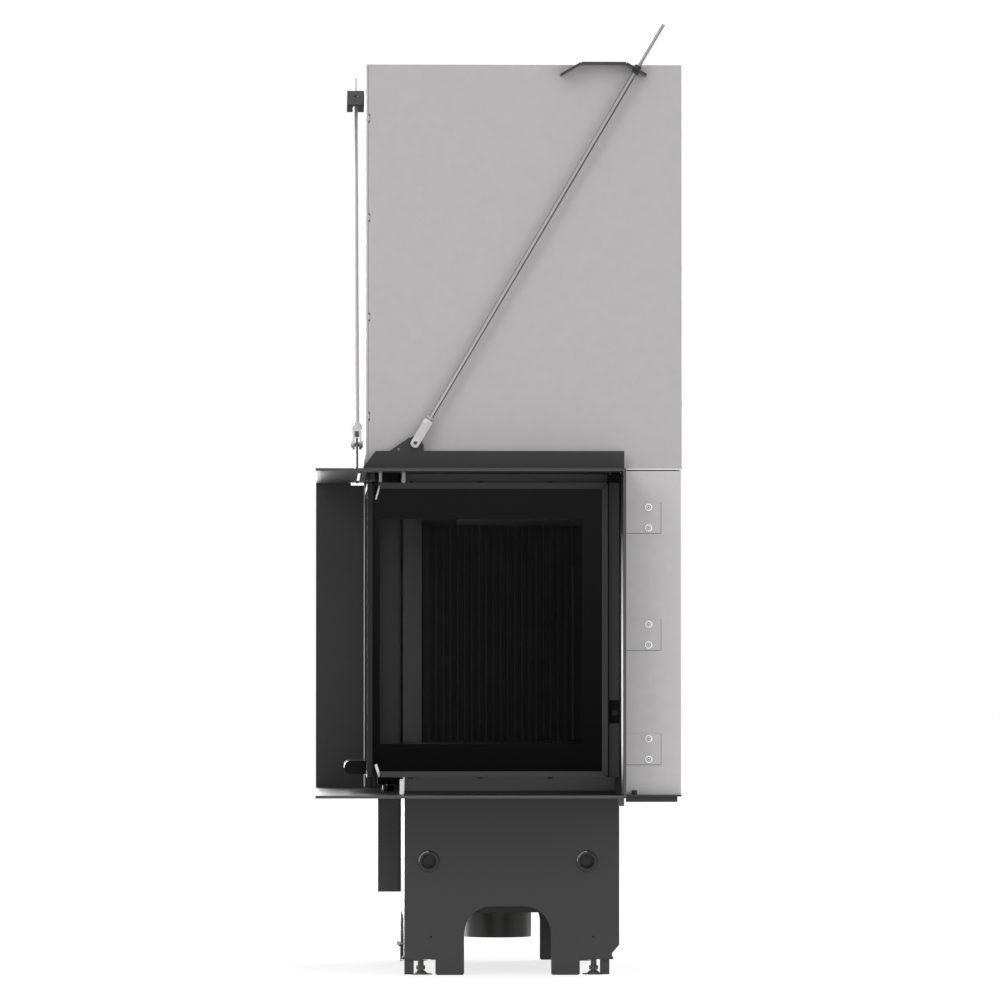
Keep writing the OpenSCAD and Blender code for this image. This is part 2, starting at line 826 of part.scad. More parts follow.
// Inner walls of both arms and the plates that close their ends
module casing_inner() {
    z1 = z_case_top - case_t;
    x_in = x_case - case_arm;
    y_in = y_case + case_arm;
    color(zinc) {
        block([x_case_wall, y_in - case_t, z_collar_top], [x_in, y_in, z1]);
        block([x_in, y_in, z_collar_top], [x_in + case_t, y_case_back - case_t, z1]);
        block([x_case_wall, y_case_in, z_collar_top], [x_case_wall + case_t, y_in - case_t, z1]);
        block([x_in, y_case_back - case_t, z_collar_top], [x_case, y_case_back, z1]);
    }
}

module casing_top() {
    x_in = x_case - case_arm;
    y_in = y_case + case_arm;
    color(zinc) {
        block([x_case_wall, y_case, z_case_top - case_t], [x_case, y_in, z_case_top]);
        block([x_in, y_in - cut, z_case_top - case_t], [x_case, y_case_back, z_case_top]);
    }
}

// Screw with a round flanged head and a hexagonal socket, its face along +Z
module socket_screw(r, h) {
    difference() {
        union() {
            cylinder(r = r, h = h * 0.4, $fn = 32);
            cylinder(r = r * 0.72, h = h, $fn = 32);
        }
        translate([0, 0, h * 0.45]) cylinder(r = r * 0.34, h = h, $fn = 6);
    }
}

module sheet_screws() {
    color("#8c8c8d") {
        for (share = [0.8333, 0.4986, 0.1639]) for (x = [x_case - 9, x_case - case_arm + 12])
            translate([x, y_case_back, z_collar_top + share * case_h]) rotate([-90, 0, 0])
                socket_screw(5, screw_h);
        for (z = tab_z) for (dz = [-tab_h / 3, tab_h / 3])
            translate([x_case + 1.5, y_collar_back + 0.668 * tab_w, z + dz]) rotate([0, 90, 0])
                socket_screw(6.75, 4);
    }
}

// Folded cover of the rear shaft, open towards the collar
module rear_cover() {
    z0 = z_deck;
    z1 = z_collar_top - 2;
    color(zinc) {
        block([x_case_in, y_cover, z0], [x_case, y_cover_back, z1]);
        block([x_cover_in, y_cover_back - case_t, z0], [x_case, y_cover_back, z1]);
        block([x_cover_in, y_cover, z0], [x_cover_in + case_t, y_cover_back, z1]);
    }
}

module cover_tabs() {
    color(zinc) for (z = tab_z)
        block([x_case, y_collar_back, z - tab_h / 2], [x_case + 1.5, y_collar_back + tab_w, z + tab_h / 2]);
}

// Foot of the rear shaft: bottom plate, the angle under it and its hexagonal bolt
module shaft_base() {
    color(dark) {
        block([x_cover_in, y_collar_back, z_shaft], [x_case + 20, y_cover_back, z_deck]);
        block([x_case + 4, y_collar_back + 3, z_shaft - 10], [x_case + 8, y_cover_back - 7, z_shaft + cut]);
        translate([x_case + 12, y_collar_back + 18, z_deck - cut]) cylinder(r = 5.8, h = 8 + cut, $fn = 6);
    }
}

// Square tube in which the front counterweight runs, with the strip that joins it to the chamber
module weight_column() {
    x1 = x_column + column_w;
    y1 = y_column + column_d;
    color(steel) {
        difference() {
            block([x_column, y_column, z_column], [x1, y1, z_column_top]);
            block([x_column + column_t, y_column + column_t, z_column + column_t],
                [x1 - column_t, y1 - column_t, z_column_top + cut]);
        }
        block([x1 - 2 * column_t, y1 - cut, z_column], [x1 - column_t, y_body, z_column_top]);
    }
}

// Channel rail: a flat back and two edges, the mouth towards -Y at the front rail
module guide_rails() {
    edge = 6;
    color(bright) {
        x0 = x_cable_rear - 23;
        x1 = x_cable_rear - 4;
        y1 = y_collar_back - collar_t;
        block([x0, y1 - rail_t, z_deck], [x1, y1, z_rail_top]);
        for (x = [x0, x1 - rail_t])
            block([x, y1 - edge - rail_t, z_deck], [x + rail_t, y1, z_rail_top]);
        xf = x_cable_front - rail_w / 2;
        block([xf, y_column - rail_t, z_deck + 1], [xf + rail_w, y_column, z_rail_top]);
        for (x = [xf, xf + rail_w - rail_t])
            block([x, y_column - edge, z_deck + 1], [x + rail_t, y_column, z_rail_top]);
    }
}

// Bracket under the casing top with its two cheeks and the axle of a pulley
module pulley_bracket() {
    half = 9;
    sheet = 3;
    cheek = 14;
    top = z_case_top - case_t - z_pulley;
    for (x = [-half - sheet, half]) translate([x, -cheek, -cheek]) cube([sheet, 2 * cheek, top + cheek]);
    translate([-half - sheet, -20, top - sheet]) cube([2 * (half + sheet), 40, sheet]);
    rotate([0, 90, 0]) cylinder(r = axle_r, h = 2 * (half + sheet) + 2, center = true);
}

module pulley_brackets() {
    color(steel) {
        translate([x_cable_rear, y_pulley_rear, z_pulley]) pulley_bracket();
        translate([x_cable_front, y_pulley_front, z_pulley]) pulley_bracket();
    }
}

// Grooved pulley on the X axis, its cable running at the given radius
module pulley(r) {
    core = r - cable_r - 0.3;
    rim = r + 3;
    half = 6.5;
    groove = cable_r + 0.5;
    rotate([0, 90, 0]) rotate_extrude($fn = 72) polygon([
        [axle_r + 0.05, -half], [rim, -half], [rim, -groove - 1], [core, -groove], [core, groove],
        [rim, groove + 1], [rim, half], [axle_r + 0.05, half]]);
}

module pulley_rear() {
    color("#55565a") translate([x_cable_rear, y_pulley_rear, z_pulley]) pulley(pulley_r);
}

module pulley_front() {
    color("#55565a") translate([x_cable_front, y_pulley_front, z_pulley]) pulley(pulley_front_r);
}

// Cable over the top of a pulley
module cable_bend(r) {
    rotate([0, 90, 0]) rotate([0, 0, 90]) rotate_extrude(angle = 180, $fn = 48)
        translate([r, 0]) circle(cable_r, $fn = 16);
}

module cable_bends() {
    color(bright) {
        translate([x_cable_rear, y_pulley_rear, z_pulley]) cable_bend(pulley_r);
        translate([x_cable_front, y_pulley_front, z_pulley]) cable_bend(pulley_front_r);
    }
}

module cable(x, y, z) {
    translate([x, y, z]) cylinder(r = cable_r, h = z_pulley - z, $fn = 16);
}

module cables_door() {
    color(bright) {
        cable(x_cable_rear, y_cable_rear, z_lug);
        cable(x_cable_front, y_cable_front, z_lug);
    }
}

module cable_weight_rear() {
    color(bright) cable(x_cable_rear, y_weight_rear, z_weight_rear + weight_h + eye_h);
}

module cable_weight_front() {
    color(bright) cable(x_cable_front, y_weight_front, z_weight_front + weight_front_h + eye_h);
}

// Steel bar with bevelled ends and the boss that its cable ends in
module weight_bar(w, d, h) {
    bevel = 5;
    translate([-w / 2, 0, 0]) rotate([90, 0, 90]) linear_extrude(w)
        polygon([[-d / 2 + bevel, 0], [d / 2 - bevel, 0], [d / 2, bevel], [d / 2, h - bevel],
            [d / 2 - bevel, h], [-d / 2 + bevel, h], [-d / 2, h - bevel], [-d / 2, bevel]]);
    translate([0, 0, h - cut]) cylinder(r = 7, h = eye_h + cut, $fn = 32);
}

module weight_rear() {
    color("#33363a") translate([x_cable_rear, y_weight_rear, z_weight_rear])
        weight_bar(weight_w, weight_d, weight_h);
}

module weight_front() {
    inner_w = column_w - 2 * column_t - 2 * weight_run;
    inner_d = column_d - 2 * column_t - 2 * weight_run;
    color("#33363a") translate([x_cable_front, y_weight_front, z_weight_front])
        weight_bar(inner_w, inner_d, weight_front_h);
}

// Frame of the long glass, with the slim post at the corner
module door_frame_front() {
    color(dark) difference() {
        block([x_door_wall, y_door, z_door], [x_door, y_glass, z_door_top]);
        block([x_door_wall + bar_w, y_door - cut, z_door + bar_w],
            [x_door - bar_w, y_glass + cut, z_door_top - bar_w]);
    }
}

// Frame of the short glass: two bars and the rear stile, open towards the corner
module door_frame_side() {
    color(dark) difference() {
        block([x_glass, y_bar_start, z_door], [x_door, y_door_back, z_door_top]);
        block([x_glass - cut, y_bar_start - cut, z_door + bar_w],
            [x_door + cut, y_door_back - bar_w, z_door_top - bar_w]);
    }
}

module glass_front() {
    color([0.1, 0.1, 0.11, 0.5]) block([x_door_wall + lap, y_glass, z_door + lap],
        [x_glass, y_glass_in, z_door_top - lap]);
}

// Short glass, its corner edge cut back at the top and the bottom
module glass_side() {
    nip = 7;
    nip_h = 25;
    y0 = y_glass_in + 0.3;
    y1 = y_door_back - lap;
    z0 = z_door + lap;
    z1 = z_door_top - lap;
    color([0.1, 0.1, 0.11, 0.5]) plate_yz(x_glass_in, glass_t) polygon([
        [y0 + nip, z0], [y1, z0], [y1, z1], [y0 + nip, z1], [y0, z1 - nip_h], [y0, z0 + nip_h]]);
}

// Clamping rails behind both glasses, top and bottom
module door_rails() {
    depth = 12.8;
    height = 15;
    x_end = x_column + column_w + 4;
    color(dark) for (z = [z_door + 30, z_door_top - 30 - height]) {
        block([x_end, y_glass_in, z], [x_glass_in - depth, y_glass_in + depth, z + height]);
        block([x_glass_in - depth, y_glass_in + 8, z], [x_glass_in, y_door_back - lap, z + height]);
    }
}

// Upright guide plates at both ends of the door, with glide blocks and cable lugs
module door_carriages() {
    glide_h = 60;
    glide_z = [z_door + 8, z_door_top - 8 - glide_h];
    lug = 5;
    y1 = y_door_back + carriage_w + 1;
    y_rail = y_collar_back - collar_t;
    recess_h = 38;
    x0 = x_door_wall - carriage_w - 1.5;
    rail_x = x_cable_front - rail_w / 2;
    color(steel) {
        difference() {
            block([x_glass - carriage_t, y_door_back - lap + 1, z_door], [x_glass, y1, z_door_top]);
            block([x_glass - carriage_t - cut, y1 - 15, z_latch - recess_h / 2],
                [x_glass + cut, y1 + cut, z_latch + recess_h / 2]);
        }
        difference() {
            block([x_glass - 2 * carriage_t, y1 - 19, z_latch - recess_h / 2 - 6],
                [x_glass - carriage_t, y1, z_latch + recess_h / 2 + 6]);
            translate([x_glass - 2 * carriage_t - cut, y_latch, z_latch]) rotate([0, 90, 0])
                cylinder(r = latch_r, h = carriage_t + 2 * cut);
        }
        for (z = glide_z) block([x_cable_rear - 4 + slide_gap, y_rail - 9, z],
            [x_glass - carriage_t + cut, y_rail - 3, z + glide_h]);
        block([x_cable_rear - lug, y_cable_rear - lug, z_door_top - 10],
            [x_glass - 0.5, y_cable_rear + lug, z_lug]);
        block([x0, y_glass, z_door], [x_door_wall + lap - 1, y_glass + carriage_t, z_door_top]);
        for (z = glide_z) block([rail_x + rail_t + slide_gap, y_glass + carriage_t - cut, z],
            [rail_x + rail_w - rail_t - slide_gap, y_column - rail_t - slide_gap, z + glide_h]);
        block([x_cable_front - lug, y_cable_front - lug + 1, z_door_top - 10],
            [x_cable_front + lug, y_glass + carriage_t, z_lug]);
    }
}

// Bar handle with a rounded nose, carried on a web from the bottom bar
module door_handle() {
    x0 = (x_door + x_door_wall - handle_len) / 2;
    nose = handle_h / 2;
    color("#161616") plate_yz(x0, handle_len) translate([y_door - handle_out, z_handle]) {
        translate([nose, nose]) circle(nose);
        translate([nose, 0]) square([handle_out - nose, handle_h]);
    }
}

// Small catch in the recess of the rear guide plate
module latch() {
    x = x_glass - carriage_t + 0.3;
    color("#6e6e70") translate([x, y_latch, z_latch]) rotate([0, 90, 0]) {
        difference() {
            union() {
                cylinder(r = 5, h = 3, $fn = 32);
                translate([-2.5, -5, 0]) cube([5, 11, 2.2]);
            }
            translate([0, 0, 1.6]) cylinder(r = 2, h = 3, $fn = 6);
        }
        translate([0, 0, -carriage_t - 0.3]) cylinder(r = latch_r - fit, h = carriage_t + 0.3 + cut);
    }
}

// Air slide: a shutter over the floor windows, its arm through the sill, and the knob
module air_slide() {
    z0 = z_floor + 0.3;
    shutter = 2;
    z_arm = z_floor + 6.5;
    half = air_arm_w / 2;
    knob_h = 9.5;
    color("#141414") {
        difference() {
            block([air_x0 - 10, air_y0 - 2, z0],
                [air_x0 + 8 * air_win + 10, air_y0 + air_win_d + 2, z0 + shutter]);
            air_windows(z0);
        }
        block([air_x - half, air_y0 - 2, z0 + shutter - cut], [air_x + half, air_y0 + 4, z_arm + 12]);
        block([air_x - half, air_y - 20, z_arm], [air_x + half, air_y0 + 4, z_arm + 12]);
        translate([air_x, air_y, z_deck + knob_h]) cylinder(r = 4, h = z_arm - z_deck - knob_h + cut);
        translate([air_x, air_y, z_deck + 0.6]) cylinder(r = 11.5, h = knob_h);
    }
}

// Row of windows in the chamber floor and in the shutter that slides over them
module air_windows(z) {
    for (i = [0 : 3])
        block([air_x0 + i * 2 * air_win, air_y0, z - 20],
            [air_x0 + (2 * i + 1) * air_win, air_y0 + air_win_d, z + 20]);
}

// Levelling foot: flared pad, stem and the lock nut under its plate
module foot(spot) {
    color("#8a8a8c") translate([spot[0], spot[1], 0]) {
        rotate_extrude() polygon([[0, 0], [foot_r, 0], [foot_r, 1.5], [0.65 * foot_r, 1.5],
            [0.35 * foot_r, pad_h], [0, pad_h]]);
        translate([0, 0, pad_h - cut]) cylinder(r = stem_r, h = skirt_z + foot_travel + 6, $fn = 32);
        translate([0, 0, pad_h + 2]) cylinder(r = stem_r * 1.7, h = 7, $fn = 6);
    }
}

module foot_front_glass() {
    foot(foot_spots[0]);
}

module foot_rear_glass() {
    foot(foot_spots[1]);
}

module foot_front_wall() {
    foot(foot_spots[2]);
}

module foot_rear_wall() {
    foot(foot_spots[3]);
}

base_panel_glass();
base_panel_wall();
base_cross_panels();
base_floor();
air_spigot();
foot_plates();
carry_sockets();
firebox_floor();
firebox_back();
firebox_wall_side();
firebox_top();
flue_spigot();
sill_frame();
header_frame();
seal_ropes();
lining_back();
lining_wall();
hearth_tiles();
baffle_plate();
collar_top();
collar_bottom();
collar_rear();
collar_wall();
top_angles();
tie_rods();
rod_clevises();
rod_fasteners();
rod_brackets();
casing_front();
casing_side();
casing_inner();
casing_top();
sheet_screws();
rear_cover();
cover_tabs();
shaft_base();
weight_column();
guide_rails();
pulley_brackets();
cable_bends();
cables_door();
cable_weight_rear();
cable_weight_front();
pulley_rear();
pulley_front();
weight_rear();
weight_front();
door_frame_front();
door_frame_side();
glass_front();
glass_side();
door_rails();
door_carriages();
door_handle();
latch();
air_slide();
foot_front_glass();
foot_rear_glass();
foot_front_wall();
foot_rear_wall();
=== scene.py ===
"""Looks of a corner fireplace insert with a lifting glass door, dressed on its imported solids.

Units are metres, +Z is up, the long glass faces -Y and the short glass faces +X.
"""

import math

import bmesh
import bpy
from bpy.props import FloatProperty, FloatVectorProperty, IntProperty, PointerProperty
from mathutils import Matrix, Vector


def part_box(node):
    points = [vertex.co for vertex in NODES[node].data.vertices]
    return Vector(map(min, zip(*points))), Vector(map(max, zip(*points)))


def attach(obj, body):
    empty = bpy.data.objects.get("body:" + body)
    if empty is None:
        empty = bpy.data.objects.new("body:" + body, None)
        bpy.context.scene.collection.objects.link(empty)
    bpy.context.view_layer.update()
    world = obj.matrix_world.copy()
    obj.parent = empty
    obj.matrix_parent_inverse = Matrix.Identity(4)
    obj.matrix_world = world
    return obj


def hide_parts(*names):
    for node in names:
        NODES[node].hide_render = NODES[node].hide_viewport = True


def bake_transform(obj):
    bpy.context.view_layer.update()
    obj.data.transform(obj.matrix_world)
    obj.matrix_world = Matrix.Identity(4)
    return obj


bl_info = {
    "name": "Corner Fireplace Insert",
    "version": (1, 0, 0),
    "blender": (4, 5, 0),
    "location": "View3D > Sidebar > Insert",
    "description": "Finishes and small fittings of a corner fireplace insert",
    "category": "Add Mesh",
}

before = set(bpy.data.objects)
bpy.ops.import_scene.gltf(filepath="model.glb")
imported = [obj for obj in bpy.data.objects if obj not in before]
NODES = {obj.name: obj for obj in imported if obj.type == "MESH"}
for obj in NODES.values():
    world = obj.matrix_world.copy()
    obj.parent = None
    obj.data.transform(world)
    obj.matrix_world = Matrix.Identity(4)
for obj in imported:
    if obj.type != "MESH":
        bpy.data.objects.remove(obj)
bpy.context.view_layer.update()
MM = 0.001

# Sockets of the Mix node where it mixes colours
MIX_FIRST, MIX_SECOND, MIX_RESULT = 6, 7, 2
# Scale at which a Wave texture runs through one radian in a metre
WAVE_SCALE = 1 / 20
# Radius that the light sees on a sheet's bent or cut edge
EDGE_ROUND = 0.6 * MM
# Depths of the thin strips painted as shadow and light on the sheets, and of the lines and painted
# glints on the door
SEAM_DEPTH = 0.6 * MM
LINE_DEPTH = 0.4 * MM
# Width of the bars of the side door frame
DOOR_BAR = 10.5 * MM
# Height of a tab on the rear cover, and where the three tabs stand as shares of their run
TAB = 55.5 * MM
TAB_SHARES = (0, 0.494, 1)
# Turns a piece lathed about Z so that its start points to -Y and its axis to +X
CRESCENT = Matrix(((0, 0, 1, 0), (0, 1, 0, 0), (-1, 0, 0, 0), (0, 0, 0, 1)))


def linear(hex_colour):
    """Linear RGB of an sRGB colour written as #rrggbb."""
    channels = [int(hex_colour[i : i + 2], 16) / 255 for i in (1, 3, 5)]
    return tuple(c / 12.92 if c <= 0.04045 else ((c + 0.055) / 1.055) ** 2.4 for c in channels)


def colour_property(name, words, hex_colour):
    """A colour that the user can change, with its default given as sRGB hex."""
    shade = linear(hex_colour)
    return FloatVectorProperty(
        name=name, description=words, subtype="COLOR", size=3, min=0, max=1, default=shade
    )


def length_property(name, words, millimetres):
    """A length that the user can change, with its default given in millimetres."""
    size = millimetres * MM
    return FloatProperty(
        name=name, description=words, subtype="DISTANCE", unit="LENGTH", min=0, default=size
    )


class InsertFinishes(bpy.types.PropertyGroup):
    """Colours of the finishes."""

    zinc: colour_property("Zinc", "Galvanised sheet of the casing", "#B6B4B5")
    # A lighter copy of the casing's zinc on the rear cover and tabs: painted light where the collar
    # shades them.
    cover_lit_zinc: colour_property("Cover zinc", "Galvanised sheet of the rear cover", "#C5C3C4")
    body_paint: colour_property("Body paint", "Paint of the stand and the chamber", "#3B3B3C")
    # A lighter copy of the body paint on the front shaft and its closing strips: painted light
    # where the collar and chamber shade it.
    shaft_lit_paint: colour_property("Shaft paint", "Paint of the front shaft", "#4E4E4D")
    # A lighter copy of the body paint on the chamber's wall side: painted light inside the shaded
    # chamber.
    wall_lit_paint: colour_property("Wall paint", "Paint of the chamber's wall side", "#626262")
    spigot_paint: colour_property("Spigot paint", "Paint of the spigots", "#4A4A48")
    foot_zinc: colour_property("Foot zinc", "Zinc of the levelling feet", "#757573")
    # A lighter copy of the body paint on the sill and header: painted light where the door shades
    # them.
    sill_lit_paint: colour_property("Sill paint", "Paint of the sill and the header", "#5C5C5D")
    # Very dark: on the air floor it is painted shade, on the hearth the soot of the fire board.
    soot_and_shade_paint: colour_property("Deep paint", "Paint of the air floor and the hearth", "#1B1B1B")
    post_paint: colour_property("Post paint", "Paint of the post at the glass corner", "#191919")
    frame_paint: colour_property("Frame paint", "Paint of the collar and the door frame", "#393939")
    # Also the black of the painted shade in screw recesses, round the sockets and on the door's
    # strips.
    print_black: colour_property("Print", "Ceramic print along the edges of the glass", "#070707")
    glass_tint: colour_property("Glass tint", "Body colour of the clear glass", "#101112")
    lining: colour_property("Lining", "Fire-proof boards and tiles", "#2B2A28")
    rope: colour_property("Rope", "Woven seal ropes", "#56544F")
    turned_steel: colour_property("Turned steel", "Tie rods and forks", "#DEDCDD")
    # Also the colour of the painted shade along the side rod.
    dark_zinc: colour_property("Dark zinc", "Nuts of the rods, and pulleys", "#4A4A4B")
    # Also the colour of the painted highlights on the socket rims and of the pale blocks under the
    # collar.
    pale_zinc: colour_property("Pale zinc", "Rivets, bolts and the lock nut", "#A9A8A8")
    handle: colour_property("Handle", "Enamel of the handle and the air slide", "#0B0A09")
    raw_iron: colour_property("Raw iron", "Counterweights", "#3C3E41")
    wire: colour_property("Wire", "Steel cables", "#9C9C9C")
    # Pale colour of the painted highlights and light: glass corners, edge strips and the casing's
    # foot.
    glint_white: colour_property("Cut glass", "Ground glass edges, pale seals and seams", "#F2F4F3")
    # Pure white of the screw flanges: a painted highlight.
    flange_highlight_white: colour_property("White zinc", "Flanges of the sheet screws", "#FFFFFF")
    catch: colour_property("Catch", "Catch, and the pin of the fork", "#2A2A2B")
    # Colour of the painted shadow lines beside and under the cover's tabs.
    seam: colour_property("Seam", "Dark seams between sheets", "#5E5D5D")


class InsertSizes(bpy.types.PropertyGroup):
    """Sizes of the small fittings and of the printed glass edges."""

    print_side: length_property("Print at the stile", "Width of the print beside the stile", 41)
    print_top: length_property("Print at the top", "Width of the print under the top bar", 55)
    print_bottom: length_property("Print at the bottom", "Width of the print over the low bar", 49)
    print_corner: length_property("Print at the corner", "Width of the print by the next pane", 9)
    screw_r: length_property("Door screw", "Radius of a head on the edge of the door", 5)
    screw_step: length_property("Screw step", "Spacing of the screws along the door", 125)
    rivet_r: length_property("Rivet", "Radius of a rivet in the casing", 3)
    rivet_step: length_property("Rivet step", "Spacing of the rivets", 118)
    bead_r: length_property("Weld bead", "Radius of a weld bead", 2)
    cable_r: length_property("Cable", "Radius of a steel cable", 1.9)
    cable_sides: IntProperty(name="Strands", description="Cable strands", min=3, max=12, default=6)


def add(tree, kind, settings=None, links=None):
    """Adds one shader node, sets its values and links its sockets."""
    made = tree.nodes.new(kind)
    for name, value in (settings or {}).items():
        if isinstance(name, int) or name in made.inputs:
            made.inputs[name].default_value = value
        else:
            setattr(made, name, value)
    for name, source in (links or {}).items():
        tree.links.new(source, made.inputs[name])
    return made


def rgba(colour, share=1.0):
    """A colour with full alpha, made lighter or darker by a share."""
    return (*[min(1.0, c * share) for c in colour], 1.0)


def bare_material(name):
    """A material with an empty node tree."""
    material = bpy.data.materials.new(name)
    material.use_nodes = True
    material.node_tree.nodes.clear()
    return material, material.node_tree


def new_material(name, shader_settings):
    """A material with one Principled shader, with its tree, shader and Object coordinates."""
    material, tree = bare_material(name)
    shader = add(tree, "ShaderNodeBsdfPrincipled", shader_settings)
    add(tree, "ShaderNodeOutputMaterial", links={"Surface": shader.outputs["BSDF"]})
    coordinates = add(tree, "ShaderNodeTexCoord").outputs["Object"]
    return material, tree, shader, coordinates


def paint_between(tree, shader, first, second, share):
    """Gives the shader a colour between two, by a share from 0 to 1."""
    colours = {"data_type": "RGBA", MIX_FIRST: first, MIX_SECOND: second}
    mix = add(tree, "ShaderNodeMix", colours, {0: share})
    tree.links.new(mix.outputs[MIX_RESULT], shader.inputs["Base Color"])


def mottled(tree, shader, coordinates, colour, size_mm, contrast):
    """Gives the shader a colour that varies a little over patches of the given size."""
    patches = {"Scale": 1 / (size_mm * MM), "Detail": 4.0}
    noise = add(tree, "ShaderNodeTexNoise", patches, {"Vector": coordinates})
    dark, pale = rgba(colour, 1 - contrast), rgba(colour, 1 + contrast)
    paint_between(tree, shader, dark, pale, noise.outputs["Fac"])


def grain(tree, shader, coordinates, size_mm, depth_mm, strength=0.5):
    """Bumps the surface with noise of the given grain size and softens its edges."""
    grains = {"Scale": 1 / (size_mm * MM), "Detail": 2.0}
    noise = add(tree, "ShaderNodeTexNoise", grains, {"Vector": coordinates})
    edge = add(tree, "ShaderNodeBevel", {"samples": 4, "Radius": EDGE_ROUND})
    bump = add(
        tree,
        "ShaderNodeBump",
        {"Strength": strength, "Distance": depth_mm * MM},
        {"Height": noise.outputs["Fac"], "Normal": edge.outputs["Normal"]},
    )
    tree.links.new(bump.outputs["Normal"], shader.inputs["Normal"])


def galvanised_sheet(name, colour, rough, bumpy=True):
    """Hot-dip galvanised sheet: an even pale grey with faint zinc crystals and a soft sheen."""
    # Usual size of a zinc crystal
    crystal_mm = 14
    contrast = 0.015
    material, tree, shader, coordinates = new_material(name, {"Metallic": 0.15, "IOR": 1.5})
    size = {"Scale": 1 / (crystal_mm * MM)}
    crystals = add(tree, "ShaderNodeTexVoronoi", size, {"Vector": coordinates})
    tone = add(tree, "ShaderNodeSeparateColor", links={"Color": crystals.outputs["Color"]})
    dark, pale = rgba(colour, 1 - contrast), rgba(colour, 1 + contrast)
    paint_between(tree, shader, dark, pale, tone.outputs["Red"])
    levels = {"To Min": rough, "To Max": rough + 0.08}
    sheen = add(tree, "ShaderNodeMapRange", levels, {"Value": tone.outputs["Green"]})
    tree.links.new(sheen.outputs["Result"], shader.inputs["Roughness"])
    if bumpy:
        grain(tree, shader, coordinates, 2.5, 0.02, 0.3)
    return material


def heat_proof_paint(name, colour, rough):
    """Sprayed silicone paint for stoves: matt and slightly cloudy, with a fine grit."""
    material, tree, shader, coordinates = new_material(name, {"Roughness": rough, "IOR": 1.45})
    mottled(tree, shader, coordinates, colour, 160, 0.05)
    # The real grit is about 0.2 mm, too fine to show, so it is drawn coarser
    grain(tree, shader, coordinates, 1.4, 0.05)
    return material


def smooth_paint(name, colour, rough=0.34):
    """The same paint sprayed smooth: cloudy, with a sheen along the sheet."""
    material, tree, shader, coordinates = new_material(name, {"Roughness": rough, "IOR": 1.9})
    mottled(tree, shader, coordinates, colour, 120, 0.05)
    return material


def enamel(name, colour, rough, ior=1.5):
    """Baked enamel or thin plating: smooth and even, with a tighter highlight than the paint."""
    material, tree, shader, coordinates = new_material(name, {"Roughness": rough, "IOR": ior})
    mottled(tree, shader, coordinates, colour, 60, 0.04)
    grain(tree, shader, coordinates, 3, 0.01, 0.2)
    return material


def turned_steel(name, colour, metallic, rough):
    """Zinc-plated turned steel: bright metal with fine tool marks across its length."""
    # Length of a radian: real tool marks are finer, and these are as coarse as they need to show
    mark_mm = 1.6
    gloss = {"Metallic": metallic, "Roughness": rough}
    material, tree, shader, coordinates = new_material(name, gloss)
    mottled(tree, shader, coordinates, colour, 25, 0.05)
    marks = {"bands_direction": "Z", "Scale": WAVE_SCALE / (mark_mm * MM), "Distortion": 0.4}
    wave = add(tree, "ShaderNodeTexWave", marks, {"Vector": coordinates})
    depth = {"Strength": 0.15, "Distance": 0.02 * MM}
    bump = add(tree, "ShaderNodeBump", depth, {"Height": wave.outputs["Fac"]})
    tree.links.new(bump.outputs["Normal"], shader.inputs["Normal"])
    return material


def fire_board(name, colour):
    """Pressed mineral board, dark from the fire: dull and crumbly, with soot clouds."""
    material, tree, shader, coordinates = new_material(name, {"Roughness": 0.9, "IOR": 1.4})
    mottled(tree, shader, coordinates, colour, 45, 0.3)
    grain(tree, shader, coordinates, 3.5, 0.5, 0.6)
    return material


def glass_rope(colour):
    """Woven glass-fibre rope: a coarse diagonal weave."""
    # Length of a radian: one turn of the rope's yarns is about 19 mm
    weave_mm = 3
    material, tree, shader, coordinates = new_material("glass_rope", {"Roughness": 0.95})
    mottled(tree, shader, coordinates, colour, 12, 0.15)
    weave = {"bands_direction": "DIAGONAL", "Scale": WAVE_SCALE / (weave_mm * MM)}
    wave = add(tree, "ShaderNodeTexWave", weave, {"Vector": coordinates})
    depth = {"Strength": 0.7, "Distance": 0.6 * MM}
    bump = add(tree, "ShaderNodeBump", depth, {"Height": wave.outputs["Fac"]})
    tree.links.new(bump.outputs["Normal"], shader.inputs["Normal"])
    return material


def raw_iron(colour):
    """Raw sawn iron: dark, with a mottled skin."""
    skin = {"Metallic": 0.6, "Roughness": 0.6}
    material, tree, shader, coordinates = new_material("raw_iron", skin)
    mottled(tree, shader, coordinates, colour, 30, 0.2)
    grain(tree, shader, coordinates, 2, 0.15)
    return material


def nut_zinc(colour, lower, low, high):
    """Zinc of the rods' nuts, of another colour on those in the lower half of their box."""
    gloss = {"Metallic": 0.2, "Roughness": 0.45}
    material, tree, shader, coordinates = new_material("rod_zinc", gloss)
    middle = Vector((high.x, high.y, (low.z + high.z) / 2))
    inside = inside_box(tree, coordinates, low, middle, "Z")
    paint_between(tree, shader, rgba(colour), rgba(lower), inside)
    return material


def inside_box(tree, coordinates, low, high, axes):
    """A mask that is 1 inside the box and 0 outside, tested on the named axes."""
    split = add(tree, "ShaderNodeSeparateXYZ", links={"Vector": coordinates})
    mask = None
    for axis in axes:
        for operation, corner in (("GREATER_THAN", low), ("LESS_THAN", high)):
            limit = {"operation": operation, 1: corner["XYZ".index(axis)]}
            side = add(tree, "ShaderNodeMath", limit, {0: split.outputs[axis]}).outputs[0]
            if mask is not None:
                both = {0: mask, 1: side}
                side = add(tree, "ShaderNodeMath", {"operation": "MULTIPLY"}, both).outputs[0]
            mask = side
    return mask


